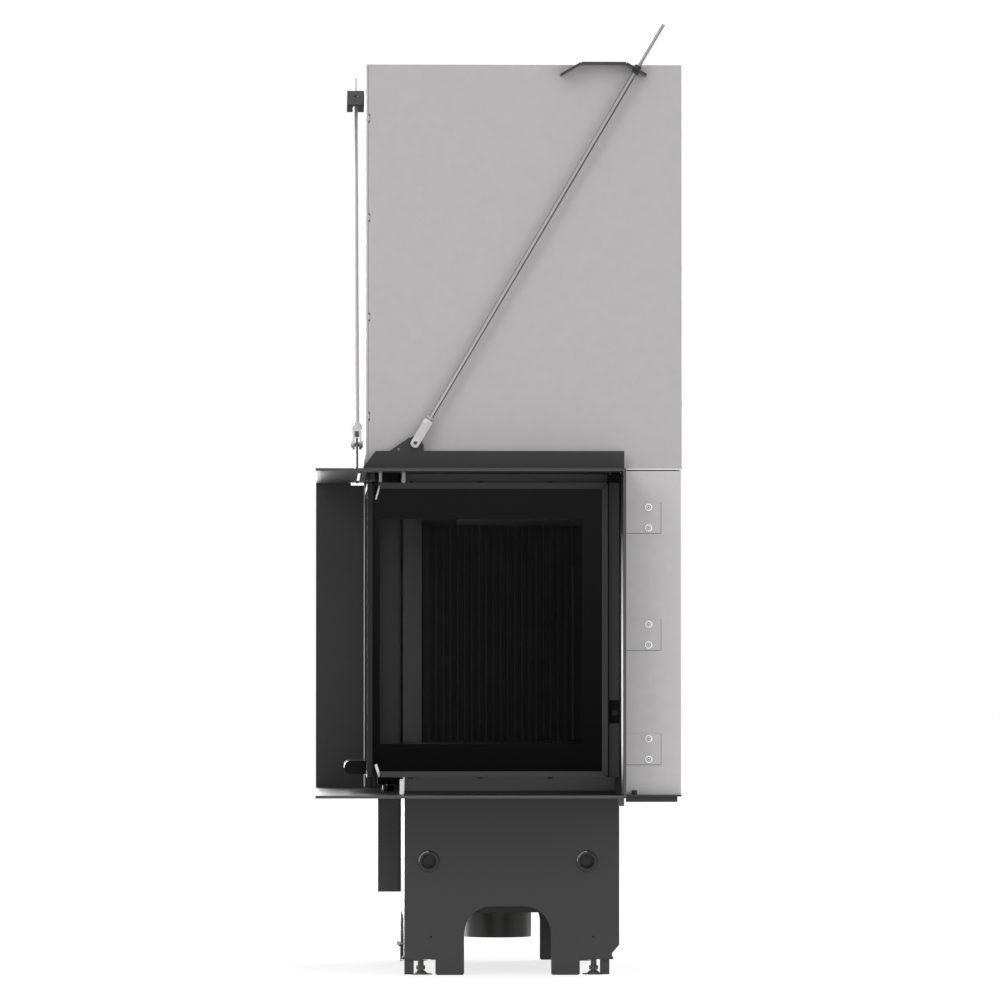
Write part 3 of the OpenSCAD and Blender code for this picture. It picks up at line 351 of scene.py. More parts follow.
def printed_glass(name, finishes, low, high, axes):
    """Ceramic glass: clear in the middle, with a black ceramic print fired on along its edges."""
    material, tree, shader, coordinates = new_material(name, {"Roughness": 0.03, "IOR": 1.5})
    clear = inside_box(tree, coordinates, low, high, axes)
    paint_between(tree, shader, rgba(finishes.print_black), rgba(finishes.glass_tint), clear)
    cover = add(tree, "ShaderNodeMapRange", {"To Min": 1.0, "To Max": 0.15}, {"Value": clear})
    tree.links.new(cover.outputs["Result"], shader.inputs["Alpha"])
    return material


def dress(material, *names):
    """Gives the named solids a material."""
    for name in names:
        mesh = NODES[name].data
        mesh.materials.clear()
        mesh.materials.append(material)


def piece_from(bm, name, material, body=None):
    """Turns a bmesh into a piece at the origin that rides on a body."""
    bmesh.ops.recalc_face_normals(bm, faces=bm.faces)
    mesh = bpy.data.meshes.new(name)
    bm.to_mesh(mesh)
    bm.free()
    mesh.materials.append(material)
    piece = bpy.data.objects.new(name, mesh)
    bpy.context.scene.collection.objects.link(piece)
    if body:
        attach(piece, body)
    return piece


def turn_to(direction):
    """The rotation that turns +Z to a direction."""
    return Vector((0, 0, 1)).rotation_difference(Vector(direction)).to_matrix().to_4x4()


def add_head(bm, at, direction, radius, height, socket=True):
    """A low round head with a bevelled rim and, unless it is a rivet, a round socket."""
    verts = bmesh.ops.create_cone(
        bm, cap_ends=True, segments=20, radius1=radius, radius2=radius, depth=height
    )["verts"]
    bmesh.ops.translate(bm, verts=verts, vec=(0, 0, height / 2))
    rim = [e for e in bm.edges if all(v in verts and v.co.z > height * 0.9 for v in e.verts)]
    bevelled = bmesh.ops.bevel(
        bm, geom=rim, offset=height * 0.4, segments=3, profile=0.5, affect="EDGES", material=-1
    )
    verts = list({v for v in verts if v.is_valid} | set(bevelled["verts"]))
    faces = [f for f in bm.faces if all(v in verts for v in f.verts)]
    top = max(faces, key=lambda f: f.calc_center_median().z)
    if socket:
        bmesh.ops.inset_individual(bm, faces=[top], thickness=radius * 0.38)
        bmesh.ops.translate(bm, verts=top.verts, vec=(0, 0, -height * 0.6))
        near = {v for e in top.edges for f in e.link_faces for v in f.verts}
        verts = list(set(verts) | set(top.verts) | near)
    bmesh.ops.transform(bm, matrix=Matrix.Translation(at) @ turn_to(direction), verts=verts)


def lathe(bm, profile, at, direction, dark=(), angle=360):
    """Spins a profile of radii and heights in mm; faces between dark radii get material 1."""
    verts = [bm.verts.new((r * MM, 0, h * MM)) for r, h in profile]
    edges = [bm.edges.new(pair) for pair in zip(verts, verts[1:])]
    old = set(bm.faces)
    bmesh.ops.spin(
        bm,
        geom=verts + edges,
        cent=(0, 0, 0),
        axis=(0, 0, 1),
        angle=math.radians(angle),
        steps=28,
        use_merge=angle == 360,
    )
    faces = [f for f in bm.faces if f not in old]
    for face in faces:
        centre = face.calc_center_median()
        radius = math.hypot(centre.x, centre.y) / MM
        if any(inner < radius < outer for inner, outer in dark):
            face.material_index = 1
    verts = list({v for f in faces for v in f.verts})
    bmesh.ops.remove_doubles(bm, verts=verts, dist=0.001 * MM)
    verts = [v for v in verts if v.is_valid]
    bmesh.ops.transform(bm, matrix=Matrix.Translation(at) @ turn_to(direction), verts=verts)


def add_strip(bm, start, end, width, depth):
    """A thin bevelled strip from start to end, its depth along X."""
    run = Vector(end) - Vector(start)
    verts = bmesh.ops.create_cube(bm, size=1.0)["verts"]
    bmesh.ops.translate(bm, verts=verts, vec=(0, 0, 0.5))
    bmesh.ops.scale(bm, verts=verts, vec=(depth, width, run.length))
    edges = list({e for v in verts for e in v.link_edges})
    made = bmesh.ops.bevel(
        bm,
        geom=edges,
        offset=min(width, depth) * 0.2,
        segments=2,
        profile=0.5,
        affect="EDGES",
        material=-1,
    )
    verts = list({v for f in made["faces"] for v in f.verts})
    bmesh.ops.transform(bm, matrix=Matrix.Translation(start) @ turn_to(run), verts=verts)


def add_upright(bm, x, y, foot, top, width, depth):
    """An upright strip, its depth along X."""
    add_strip(bm, (x, y, foot), (x, y, top), width, depth)


def tab_feet():
    """Heights at which the tabs of the rear cover start."""
    low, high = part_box("cover_tabs")
    return [low.z + share * (high.z - low.z - TAB) for share in TAB_SHARES]


def sheet_screws(finishes):
    """Flanged screws with a pin in the recess, on the cover tabs and at the back of the casing; the
    flanges are painted white as a highlight and the recesses black as painted shade.
    """
    head = [(0, 0), (6.7, 0), (6.7, 1.3), (6.5, 1.5), (4, 1.5), (3.9, 1.2), (3.1, 1.2), (3, 2.2)]
    head += [(2.8, 2.4), (1.4, 2.4), (1.3, 1.6), (0, 1.6)]
    small = [(0.74 * r, 0.7 * h) for r, h in head]
    # Shares of a tab's depth and of the casing's height where the screws stand
    across = 0.668
    heights = (0.8333, 0.4986, 0.1639)
    bm = bmesh.new()
    low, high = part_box("cover_tabs")
    y = low.y + across * (high.y - low.y)
    for foot in tab_feet():
        for z in (foot + TAB / 6, foot + TAB * 5 / 6):
            # Faces between the dark radii are the recesses, painted black as shade.
            lathe(bm, head, (high.x, y, z), (1, 0, 0), dark=((0, 1.38), (3.05, 3.98)))
    low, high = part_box("casing_side")
    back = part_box("casing_inner")[1].y
    for share in heights:
        z = low.z + share * (high.z - low.z)
        for inset in (9 * MM, 118 * MM):
            lathe(bm, small, (high.x - inset, back, z), (0, 1, 0), dark=((0, 1), (2.45, 3.4)))
    # Pure white flange: a painted highlight.
    pale = enamel("flange_highlight_white", finishes.flange_highlight_white, 0.5)
    piece = piece_from(bm, "flange_screws", pale, "stove")
    piece.data.materials.append(enamel("recess_shade", finishes.print_black, 0.6))
    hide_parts("sheet_screws")


def shadowed_tabs_and_lit_hem(finishes):
    """Painted shadow lines along the lower and the far edge of each tab on the cover, and a white
    strip painted as the highlight along the foot of the casing.
    """
    low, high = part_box("cover_tabs")
    half = 0.4 * MM
    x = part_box("casing_side")[1].x + 0.3 * MM
    bm = bmesh.new()
    # Dark strips beside and under each tab: painted shadow.
    for z in tab_feet():
        add_upright(bm, x, high.y + half, z, z + TAB, 2 * half, SEAM_DEPTH)
        add_strip(bm, (x, low.y, z - half), (x, high.y, z - half), 2 * half, SEAM_DEPTH)
    piece_from(bm, "tab_shadow_lines", enamel("tab_shadow_line", finishes.seam, 0.6), "stove")
    start = low.y
    low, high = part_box("casing_side")
    # White strip along the casing's foot: a painted highlight.
    x, z = high.x + 0.2 * MM, low.z + MM
    bm = bmesh.new()
    add_strip(bm, (x, start, z), (x, high.y, z), 1.8 * MM, SEAM_DEPTH)
    piece_from(bm, "casing_foot_highlight", enamel("painted_hem_highlight", finishes.glint_white, 0.3), "stove")


def socket_rings(finishes):
    """Dark rings round the carrying sockets, a dark joint at the foot and painted shade at the rim
    and the bore, and a pale crescent painted as a highlight on one side of each rim.
    """
    low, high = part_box("carry_sockets")
    socket_r = 18.8 * MM
    # Dark ring at the socket's foot: a dark joint with painted shade; the inner ring is painted
    # shade at the bore's edge.
    seam = [(18.7, 0.1), (19.5, 0.1), (19.5, 0.7), (18.7, 0.7), (18.7, 0.1)]
    inner = [(11.5, 1.2), (12.9, 1.9), (12.9, 2.3), (11.5, 2.3), (11.5, 1.2)]
    # Profile of the pale crescent: a painted highlight on the rim's bevel.
    highlight_profile = [(16.7, 3.4), (18.5, 1.7), (18.7, 2.0), (16.9, 3.7), (16.7, 3.4)]
    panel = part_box("base_panel_glass")[1].x
    centres = [(panel, y, low.z + socket_r) for y in (low.y + socket_r, high.y - socket_r)]
    bm = bmesh.new()
    for centre in centres:
        for profile in (seam, inner):
            lathe(bm, profile, centre, (1, 0, 0))
    black = enamel("socket_joint_shade", finishes.print_black, 0.7)
    piece_from(bm, "socket_joint_shades", black, "stove")
    bm = bmesh.new()
    for centre in centres:
        old = set(bm.verts)
        lathe(bm, highlight_profile, (0, 0, 0), (0, 0, 1), angle=90)
        bmesh.ops.holes_fill(bm, edges=[e for e in bm.edges if e.is_boundary], sides=8)
        fresh = [v for v in bm.verts if v not in old]
        half_turn = Matrix.Rotation(math.pi, 3, "Z")
        bmesh.ops.rotate(bm, verts=fresh, cent=(0, 0, 0), matrix=half_turn)
        bmesh.ops.transform(bm, verts=fresh, matrix=Matrix.Translation(centre) @ CRESCENT)
    # Pale colour on one quarter of the rim: a painted highlight.
    bare = enamel("rim_highlight", finishes.pale_zinc, 0.4)
    piece_from(bm, "rim_highlights", bare, "stove")


def sheen_strip(finishes, foot, top):
    """Pale strip painted as a sheen along the plate's edge, painted darker towards both ends as
    shade.
    """
    material, tree, shader, coordinates = new_material("sheen_edge_strip", {"Roughness": 0.5, "IOR": 1.5})
    height = add(tree, "ShaderNodeSeparateXYZ", links={"Vector": coordinates}).outputs["Z"]
    shade_fades = {}
    # Both ends fade into the paint: painted shade towards the top plate and the floor.
    for i, (start, end) in enumerate(((top, top - 200 * MM), (foot, foot + 72 * MM))):
        span = {"From Min": start, "From Max": end}
        shade_fades[i] = add(tree, "ShaderNodeMapRange", span, {"Value": height}).outputs["Result"]
    share = add(tree, "ShaderNodeMath", {"operation": "MULTIPLY"}, shade_fades).outputs[0]
    paint_between(tree, shader, rgba(finishes.frame_paint), rgba(finishes.glint_white), share)
    return material


def pale_light_strips(finishes):
    """Pale strips painted as light: a sheen at the rear plate's edge, a slit of light on the wall
    plate and a glint by the door's foot.
    """
    low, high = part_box("collar_rear")
    top = high.z - 110 * MM
    bm = bmesh.new()
    # Pale strip along the rear plate's edge: a painted sheen.
    add_upright(bm, high.x - 2 * MM, low.y - 2 * MM, low.z + 2 * MM, top, 3 * MM, 3 * MM)
    seal = sheen_strip(finishes, low.z + 18 * MM, top)
    piece_from(bm, "sheen_edge_strip", seal, "stove")
    pale = enamel("painted_light_strip", finishes.glint_white, 0.5)
    # A pale strip on the wall plate where light shows through the gap beside it: painted light.
    low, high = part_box("collar_wall")
    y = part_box("casing_front")[0].y + 1.9 * MM
    bm = bmesh.new()
    add_upright(bm, high.x, y, low.z + 2 * MM, high.z - 1 * MM, 2.3 * MM, SEAM_DEPTH)
    piece_from(bm, "wall_light_slit", pale, "stove")
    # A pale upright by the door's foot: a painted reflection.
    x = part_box("door_frame_side")[0].x + 2 * MM
    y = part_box("base_cross_panels")[0].y - 5.5 * MM
    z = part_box("collar_bottom")[1].z
    bm = bmesh.new()
    add_upright(bm, x, y, z, z + 28 * MM, 7 * MM, 4 * MM)
    piece_from(bm, "door_foot_glint", pale, "stove")


def wall_closing(paint):
    """Closing strips between the wall plate of the collar and the front shaft."""
    low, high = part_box("collar_wall")
    shaft_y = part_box("weight_column")[0].y
    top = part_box("collar_top")[1]
    x, y = low.x + 1.5 * MM, (high.y + shaft_y) / 2
    bm = bmesh.new()
    add_upright(bm, x, y, low.z, top.z, shaft_y - high.y + 1 * MM, 2 * MM)
    z = top.z - 2.6 * MM
    add_strip(bm, (x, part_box("casing_front")[0].y, z), (x, y, z), 5 * MM, 2 * MM)
    piece_from(bm, "wall_closing", paint, "stove")


def lining_holder(finishes):
    """Steel rod that holds the wall-side lining board beside the back board."""
    low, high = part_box("lining_wall")
    thick = 1.8 * MM
    bm = bmesh.new()
    y = high.y - 14.8 * MM
    add_upright(bm, high.x + 1 * MM, y, low.z + 1 * MM, low.z + 330 * MM, thick, thick)
    steel = turned_steel("holder_steel", finishes.dark_zinc, 0.5, 0.4)
    piece_from(bm, "lining_holder", steel, "stove")


def side_rod():
    """Pin of the side rod's fork, and the run and rise of the rod above it."""
    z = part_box("top_angles")[1].z - 12.5 * MM
    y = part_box("casing_front")[0].y + 88 * MM
    pin = Vector((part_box("rod_clevises")[1].x - 9 * MM, y, z))
    return pin, Vector((0, 395 * MM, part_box("casing_top")[1].z - 11 * MM - z))


def shade_rod(material, finishes):
    """Painted shade on the side rod: its colour stays bright along the middle and is painted darker
    towards both sides.
    """
    tree = material.node_tree
    shader = next(node for node in tree.nodes if node.type == "BSDF_PRINCIPLED")
    pin, run = side_rod()
    across = Vector((0, run.z, -run.y)).normalized()
    coordinates = add(tree, "ShaderNodeTexCoord").outputs["Object"]
    along = add(tree, "ShaderNodeVectorMath", {"operation": "SUBTRACT", 1: pin}, {0: coordinates})
    offset = {"operation": "DOT_PRODUCT", 1: across}
    side = add(tree, "ShaderNodeVectorMath", offset, {0: along.outputs["Vector"]})
    # Painted shade: bands along both sides of the rod, darker towards its edges.
    shade_sides = {}
    for i, (start, end, shade_depth) in enumerate(((1.4, 2.8, 0.85), (-2.8, -4, 0.6))):
        span = {"From Min": start * MM, "From Max": end * MM, "To Max": shade_depth}
        value = {"Value": side.outputs["Value"]}
        shade_sides[i] = add(tree, "ShaderNodeMapRange", span, value).outputs["Result"]
    shade_side = add(tree, "ShaderNodeMath", {"operation": "MAXIMUM"}, shade_sides).outputs[0]
    low = pin - Vector((0, 20 * MM, 1))
    high = Vector((pin.x, pin.y + 1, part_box("rod_brackets")[1].z))
    here = inside_box(tree, coordinates, low, high, "YZ")
    share = add(tree, "ShaderNodeMath", {"operation": "MULTIPLY"}, {0: shade_side, 1: here}).outputs[0]
    # The dark zinc colour is mixed in here as the painted shade.
    bright = shader.inputs["Base Color"].links[0].from_socket
    dark = {"data_type": "RGBA", MIX_SECOND: rgba(finishes.dark_zinc)}
    mix = add(tree, "ShaderNodeMix", dark, {0: share, MIX_FIRST: bright})
    tree.links.new(mix.outputs[MIX_RESULT], shader.inputs["Base Color"])


def lock_nut(finishes):
    """Neck and lock nut above the fork of the side rod."""
    neck = [(4.6, 46.5), (6, 46.5), (6, 49.5), (8, 49.7), (8.2, 50.2), (8.2, 53.8), (8, 54.3)]
    neck += [(4.6, 54.5), (4.6, 46.5)]
    pin, run = side_rod()
    bm = bmesh.new()
    lathe(bm, neck, pin, run)
    piece_from(bm, "lock_nuts", enamel("nut_zinc", finishes.pale_zinc, 0.35), "stove")


def pin_head(finishes):
    """Head of the side rod's fork pin, with its locking ring and centre mark."""
    head = [(0, 0), (4.1, 0), (4.1, 1.2), (3.8, 1.4), (2.1, 1.4), (2, 2.2), (1.7, 2.4), (0, 2.4)]
    pin, _ = side_rod()
    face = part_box("rod_clevises")[1].x + 1.6 * MM
    bm = bmesh.new()
    lathe(bm, head, (face, pin.y, pin.z), (1, 0, 0), dark=((2.05, 4.2),))
    zinc = enamel("pin_zinc", finishes.catch, 0.5)
    piece = piece_from(bm, "pin_head", zinc, "stove")
    piece.data.materials.append(enamel("pin_gap", finishes.print_black, 0.6))


def door_lines(finishes):
    """Pale strips painted as bright light at the glass corners, dark mitre lines of the side frame,
    and black strips painted as shade behind the stile, in the latch recess and above the frame.
    """
    low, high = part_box("glass_side")
    x, near = high.x + 0.1 * MM, low.y + 1.5 * MM
    far = near + 7 * MM
    bm = bmesh.new()
    # Pale strips at the glass corners: painted light.
    add_strip(bm, (x, far, high.z), (x, near, high.z - 25 * MM), 3 * MM, LINE_DEPTH)
    add_strip(bm, (x, near, low.z + 18 * MM), (x, far, low.z - 4 * MM), 5 * MM, LINE_DEPTH)
    edge = enamel("corner_glint_paint", finishes.glint_white, 0.35)
    piece_from(bm, "glass_corners", edge, "door")
    low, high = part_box("door_frame_side")
    bm = bmesh.new()
    for inner, corner in ((high.z - DOOR_BAR, high.z), (low.z + DOOR_BAR, low.z)):
        start, end = (high.x, high.y - DOOR_BAR, inner), (high.x, high.y, corner)
        add_strip(bm, start, end, 1.4 * MM, LINE_DEPTH)
    x = low.x
    # Black strip behind the stile: painted shadow.
    add_upright(bm, x + 0.7 * MM, high.y + 1 * MM, low.z, high.z, 1.9 * MM, 1.4 * MM)
    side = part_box("door_carriages")[1].y - 1 * MM
    latch_low, latch_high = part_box("latch")
    z = (latch_low.z + latch_high.z) / 2
    # Black pad and rim in the latch recess: painted shade.
    recess_shade_x, recess_shade_y = x - 2.8 * MM, side - 6.5 * MM
    add_upright(bm, recess_shade_x, recess_shade_y, z - 19 * MM, z + 19 * MM, 14.6 * MM, 0.3 * MM)
    rim_x, rim_y, rim_z = x + 0.2 * MM, side - 15.8 * MM, z + 21 * MM
    add_upright(bm, rim_x, rim_y, z - 19 * MM, z + 23 * MM, 3.4 * MM, 0.5 * MM)
    add_strip(bm, (rim_x, rim_y, rim_z), (rim_x, side, rim_z), 4 * MM, 0.5 * MM)
    # Black strip above the frame's top: painted shade.
    top_shade_z = high.z + 0.5 * MM
    add_upright(bm, x + MM, high.y + 11 * MM, top_shade_z, top_shade_z + 14 * MM, 24 * MM, MM)
    black = enamel("mitre_and_shade_black", finishes.print_black, 0.9)
    piece_from(bm, "door_mitres_and_shade", black, "door")


def front_bolts(finishes):
    """Bolts on the stand's front panel, and two pale blocks under the collar at the glass corner
    that stand in for light showing through the gaps there.
    """
    low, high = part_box("base_cross_panels")
    bolt = [(0, -1), (1.2, -1), (1.2, 8.4), (3.2, 8.4), (3.5, 8.9), (3.5, 12.4), (3.1, 13), (0, 13)]
    small = [(0.5 * r, 0.5 * h) for r, h in bolt]
    x = high.x - 9 * MM
    bm = bmesh.new()
    lathe(bm, bolt, (x, low.y, 56.7 * MM), (0, -1, 0))
    lathe(bm, small, (x + 4 * MM, low.y - 1 * MM, 26.2 * MM), (0, -1, 0))
    steel = turned_steel("bolt_steel", finishes.pale_zinc, 0.4, 0.4)
    piece_from(bm, "stand_bolts", steel, "stove")
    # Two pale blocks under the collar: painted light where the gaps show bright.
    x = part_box("door_frame_side")[1].x + 4 * MM
    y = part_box("glass_side")[0].y
    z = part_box("collar_top")[0].z
    bm = bmesh.new()
    for out, width in ((10 * MM, 5 * MM), (51.5 * MM, 6.4 * MM)):
        add_upright(bm, x, y + out, z - 17 * MM, z, width, 4 * MM)
    piece_from(bm, "corner_light_blocks", steel, "stove")


def weld_beads(sizes, material):
    """Upright weld beads at the rear corners of the chamber, with ripples along them."""
    low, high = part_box("firebox_wall_side")
    foot, top = low.z + 4 * MM, high.z - 4 * MM
    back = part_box("collar_rear")[0].y - 0.5 * MM
    columns = (low.x + 8 * MM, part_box("firebox_back")[1].x)
    r = sizes.bead_r
    ripple, swell = 9 * MM, 1.12
    bm = bmesh.new()
    for x in columns:
        verts = bmesh.ops.create_cone(
            bm, cap_ends=True, segments=10, radius1=r, radius2=r, depth=top - foot
        )["verts"]
        bmesh.ops.translate(bm, verts=verts, vec=(x, back, (foot + top) / 2))
    sides = [e for e in bm.edges if e.calc_length() > 100 * MM]
    bmesh.ops.subdivide_edges(bm, edges=sides, cuts=60, use_grid_fill=False)
    rings = [v for v in bm.verts if int(v.co.z / ripple) % 2]
    for x in columns:
        ring = [v for v in rings if abs(v.co.x - x) < 2 * r]
        axis = Matrix.Translation((-x, -back, 0))
        bmesh.ops.scale(bm, verts=ring, vec=(swell, swell, 1), space=axis)
    piece_from(bm, "weld_beads", material, "stove")


def door_screws(finishes, sizes):
    """Round-headed screws on the upper and lower edge of both door frames."""
    side_low, side_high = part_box("door_frame_side")
    front_low, front_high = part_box("door_frame_front")
    height = 2.4 * MM
    side_x = (side_low.x + side_high.x) / 2
    front_y = (front_low.y + front_high.y) / 2
    first_y = side_high.y - 103.5 * MM
    first_x = front_low.x + 50 * MM
    spots = [(side_x, first_y - i * sizes.screw_step) for i in range(3)]
    spots += [(first_x + i * 1.15 * sizes.screw_step, front_y) for i in range(5)]
    bm = bmesh.new()
    for x, y in spots:
        add_head(bm, (x, y, side_high.z), (0, 0, 1), sizes.screw_r, height)
        add_head(bm, (x, y, side_low.z), (0, 0, -1), sizes.screw_r, height)
    black = enamel("blackened_screw", finishes.print_black, 0.5)
    piece_from(bm, "door_screws", black, "door")


def casing_rivets(finishes, sizes):
    """Blind rivets along the inner corner and the ends of the casing."""
    low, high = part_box("casing_inner")
    arm, inset, end = 130 * MM, 12 * MM, 25 * MM
    height = 1.1 * MM
    x_in = high.x - arm
    y_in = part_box("casing_top")[0].y + arm
    rows = (
        (low.x + inset, y_in, (0, 1, 0)),
        (x_in - inset, y_in, (0, 1, 0)),
        (x_in, high.y - inset, (-1, 0, 0)),
        (x_in, y_in + inset, (-1, 0, 0)),
    )
    run = high.z - low.z - 2 * end
    count = max(1, round(run / sizes.rivet_step))
    bm = bmesh.new()
    for i in range(count + 1):
        z = low.z + end + run * i / count
        for x, y, out in rows:
            add_head(bm, (x, y, z), out, sizes.rivet_r, height, socket=False)
    steel = turned_steel("rivet_steel", finishes.pale_zinc, 0.5, 0.45)
    piece_from(bm, "casing_rivets", steel, "stove")


def flue_bead(material):
    """A rolled bead round the flue spigot."""
    low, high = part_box("flue_spigot")
    centre = (low + high) / 2
    radius = (high.x - low.x) / 2 - 12 * MM
    spot = (centre.x + radius, centre.y, high.z - 18 * MM)
    bm = bmesh.new()
    profile = bmesh.ops.create_circle(bm, segments=12, radius=2 * MM)["verts"]
    turned = Matrix.Translation(spot) @ Matrix.Rotation(math.pi / 2, 4, "X")
    bmesh.ops.transform(bm, matrix=turned, verts=profile)
    bmesh.ops.spin(
        bm,
        geom=list(bm.verts) + list(bm.edges),
        cent=(centre.x, centre.y, 0),
        axis=(0, 0, 1),
        angle=2 * math.pi,
        steps=72,
        use_merge=True,
    )
    bmesh.ops.remove_doubles(bm, verts=bm.verts, dist=0.01 * MM)
    piece_from(bm, "flue_bead", material, "stove")


def cable(name, sizes, material, x, y, z_end, node=None):
    """A stranded cable from its pulley's axle down to what it carries."""
    z_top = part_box("cables_door")[1].z
    steps = 80
    groove = 0.78
    turn = Matrix.Rotation(math.radians(24), 3, "Z")
    bm = bmesh.new()
    sides = 2 * sizes.cable_sides
    ring = bmesh.ops.create_circle(bm, segments=sides, radius=sizes.cable_r)["verts"]
    for vert in ring[1::2]:
        vert.co *= groove
    bmesh.ops.translate(bm, verts=ring, vec=(x, y, z_top))
    bmesh.ops.contextual_create(bm, geom=list(bm.edges))
    rim = list(bm.edges)
    for _ in range(steps):
        grown = bmesh.ops.extrude_edge_only(bm, edges=rim)["geom"]
        verts = [g for g in grown if isinstance(g, bmesh.types.BMVert)]
        edges = [g for g in grown if isinstance(g, bmesh.types.BMEdge)]
        rim = [e for e in edges if all(v in verts for v in e.verts)]
        bmesh.ops.translate(bm, verts=verts, vec=(0, 0, (z_end - z_top) / steps))
        bmesh.ops.rotate(bm, verts=verts, cent=(x, y, 0), matrix=turn)
    bmesh.ops.contextual_create(bm, geom=rim)
    piece = piece_from(bm, name, material, None)
    if node:
        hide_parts(node)
    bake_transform(piece)


class StepBase:
    """What every step of the build shares."""

    bl_options = {"REGISTER", "UNDO"}

    def finishes(self, context):
        """Colours that the user has set."""
        return context.scene.insert_finishes

    def sizes(self, context):
        """Sizes that the user has set."""
        return context.scene.insert_sizes


class INSERT_OT_zinc(StepBase, bpy.types.Operator):
    """Galvanised casing, rear cover and its tabs, with their rivets and screws; a lighter zinc on
    the cover as painted light, painted shadow lines at the tabs and a painted highlight along the
    casing's foot
    """

    bl_idname = "insert.zinc"
    bl_label = "Galvanised Sheets"

    def execute(self, context):
        finishes = self.finishes(context)
        sheet = galvanised_sheet("galvanised_sheet", finishes.zinc, 0.36)
        dress(sheet, "casing_side", "casing_inner", "casing_top")
        front = galvanised_sheet("galvanised_front", finishes.zinc, 0.6, bumpy=False)
        dress(front, "casing_front")
        # The rear cover and tabs get the lighter zinc as painted light.
        cover = galvanised_sheet("galvanised_cover", finishes.cover_lit_zinc, 0.36)
        dress(cover, "rear_cover", "cover_tabs")
        shadowed_tabs_and_lit_hem(finishes)
        casing_rivets(finishes, self.sizes(context))
        sheet_screws(finishes)
        return {"FINISHED"}


class INSERT_OT_body(StepBase, bpy.types.Operator):
    """Painted stand, chamber, shafts, spigots and rails, with sockets, bolts and weld beads"""

    bl_idname = "insert.body"
    bl_label = "Stand and Chamber"

    def execute(self, context):
        finishes = self.finishes(context)
        body = heat_proof_paint("body_paint", finishes.body_paint, 0.42)
        dress(
            body,
            "base_panel_glass",
            "base_panel_wall",
            "foot_plates",
            "firebox_floor",
            "firebox_back",
            "firebox_top",
            "pulley_brackets",
            "door_carriages",
            "guide_rails",
        )
        dress(smooth_paint("panel_paint", finishes.body_paint), "base_cross_panels")
        # The sill and header get the lighter copy of the body paint as painted light.
        dress(smooth_paint("sill_lit_paint", finishes.sill_lit_paint), "sill_frame", "header_frame")
        # The front shaft and its closing strips get the lighter paint as painted light.
        shaft = heat_proof_paint("shaft_lit_paint", finishes.shaft_lit_paint, 0.4)
        dress(shaft, "weight_column")
        # The chamber's wall side gets the lighter paint as painted light.
        dress(heat_proof_paint("wall_lit_paint", finishes.wall_lit_paint, 0.5), "firebox_wall_side")
        pipe = heat_proof_paint("spigot_paint", finishes.spigot_paint, 0.36)
        dress(pipe, "air_spigot", "flue_spigot")
        # The air floor is painted very dark as shade.
        dress(heat_proof_paint("soot_and_shade_paint", finishes.soot_and_shade_paint, 0.6), "base_floor")
        socket_rings(finishes)
        wall_closing(shaft)
        dress(heat_proof_paint("socket_paint", finishes.frame_paint, 0.36), "carry_sockets")
        front_bolts(finishes)
        weld_beads(self.sizes(context), body)
        flue_bead(pipe)
        return {"FINISHED"}


class INSERT_OT_collar(StepBase, bpy.types.Operator):
    """Painted collar, flanges and brackets, with pale strips round the opening painted as sheen,
    glints and light through a gap
    """

    bl_idname = "insert.collar"
    bl_label = "Collar"

    def execute(self, context):
        finishes = self.finishes(context)
        dress(smooth_paint("collar_paint", finishes.frame_paint), "collar_top", "collar_rear")
        dress(smooth_paint("deck_paint", finishes.frame_paint, 0.4), "collar_bottom")
        pale_light_strips(finishes)
        paint = heat_proof_paint("angle_paint", finishes.frame_paint, 0.38)
        dress(paint, "collar_wall", "top_angles", "rod_brackets", "shaft_base")
        return {"FINISHED"}


class INSERT_OT_door(StepBase, bpy.types.Operator):
    """Door frames, printed glass, handle, catch and the screws on the door's edges"""

    bl_idname = "insert.door"
    bl_label = "Door"

    def execute(self, context):
        finishes = self.finishes(context)
        sizes = self.sizes(context)
        frame_paint = heat_proof_paint("door_paint", finishes.frame_paint, 0.4)
        dress(frame_paint, "door_frame_side", "door_rails")
        dress(heat_proof_paint("post_paint", finishes.post_paint, 0.5), "door_frame_front")
        dress(enamel("black_enamel", finishes.handle, 0.2, 1.3), "door_handle", "air_slide")
        frame_low, frame_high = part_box("door_frame_side")
        z_low = frame_low.z + DOOR_BAR + sizes.print_bottom
        z_high = frame_high.z - DOOR_BAR - sizes.print_top
        side_low, side_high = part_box("glass_side")
        side_low = Vector((side_low.x, side_low.y + sizes.print_corner, z_low))
        side_high = Vector((side_high.x, side_high.y - sizes.print_side, z_high))
        dress(printed_glass("side_glass", finishes, side_low, side_high, "YZ"), "glass_side")
        front_low, front_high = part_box("glass_front")
        front_low = Vector((front_low.x + sizes.print_side, front_low.y, z_low))
        corner = sizes.print_corner + 4 * MM
        front_high = Vector((front_high.x - corner, front_high.y, z_high))
        dress(printed_glass("front_glass", finishes, front_low, front_high, "XZ"), "glass_front")
        door_screws(finishes, sizes)
        door_lines(finishes)
        return {"FINISHED"}


class INSERT_OT_fire(StepBase, bpy.types.Operator):
    """Lining, hearth, baffle and seal ropes"""

    bl_idname = "insert.fire"
    bl_label = "Fire Lining"

    def execute(self, context):
        finishes = self.finishes(context)
        board = fire_board("fire_board", finishes.lining)
        dress(board, "lining_back", "lining_wall", "baffle_plate")
        dress(fire_board("hearth_board", finishes.soot_and_shade_paint), "hearth_tiles")
        lining_holder(finishes)
        dress(glass_rope(finishes.rope), "seal_ropes")
        return {"FINISHED"}


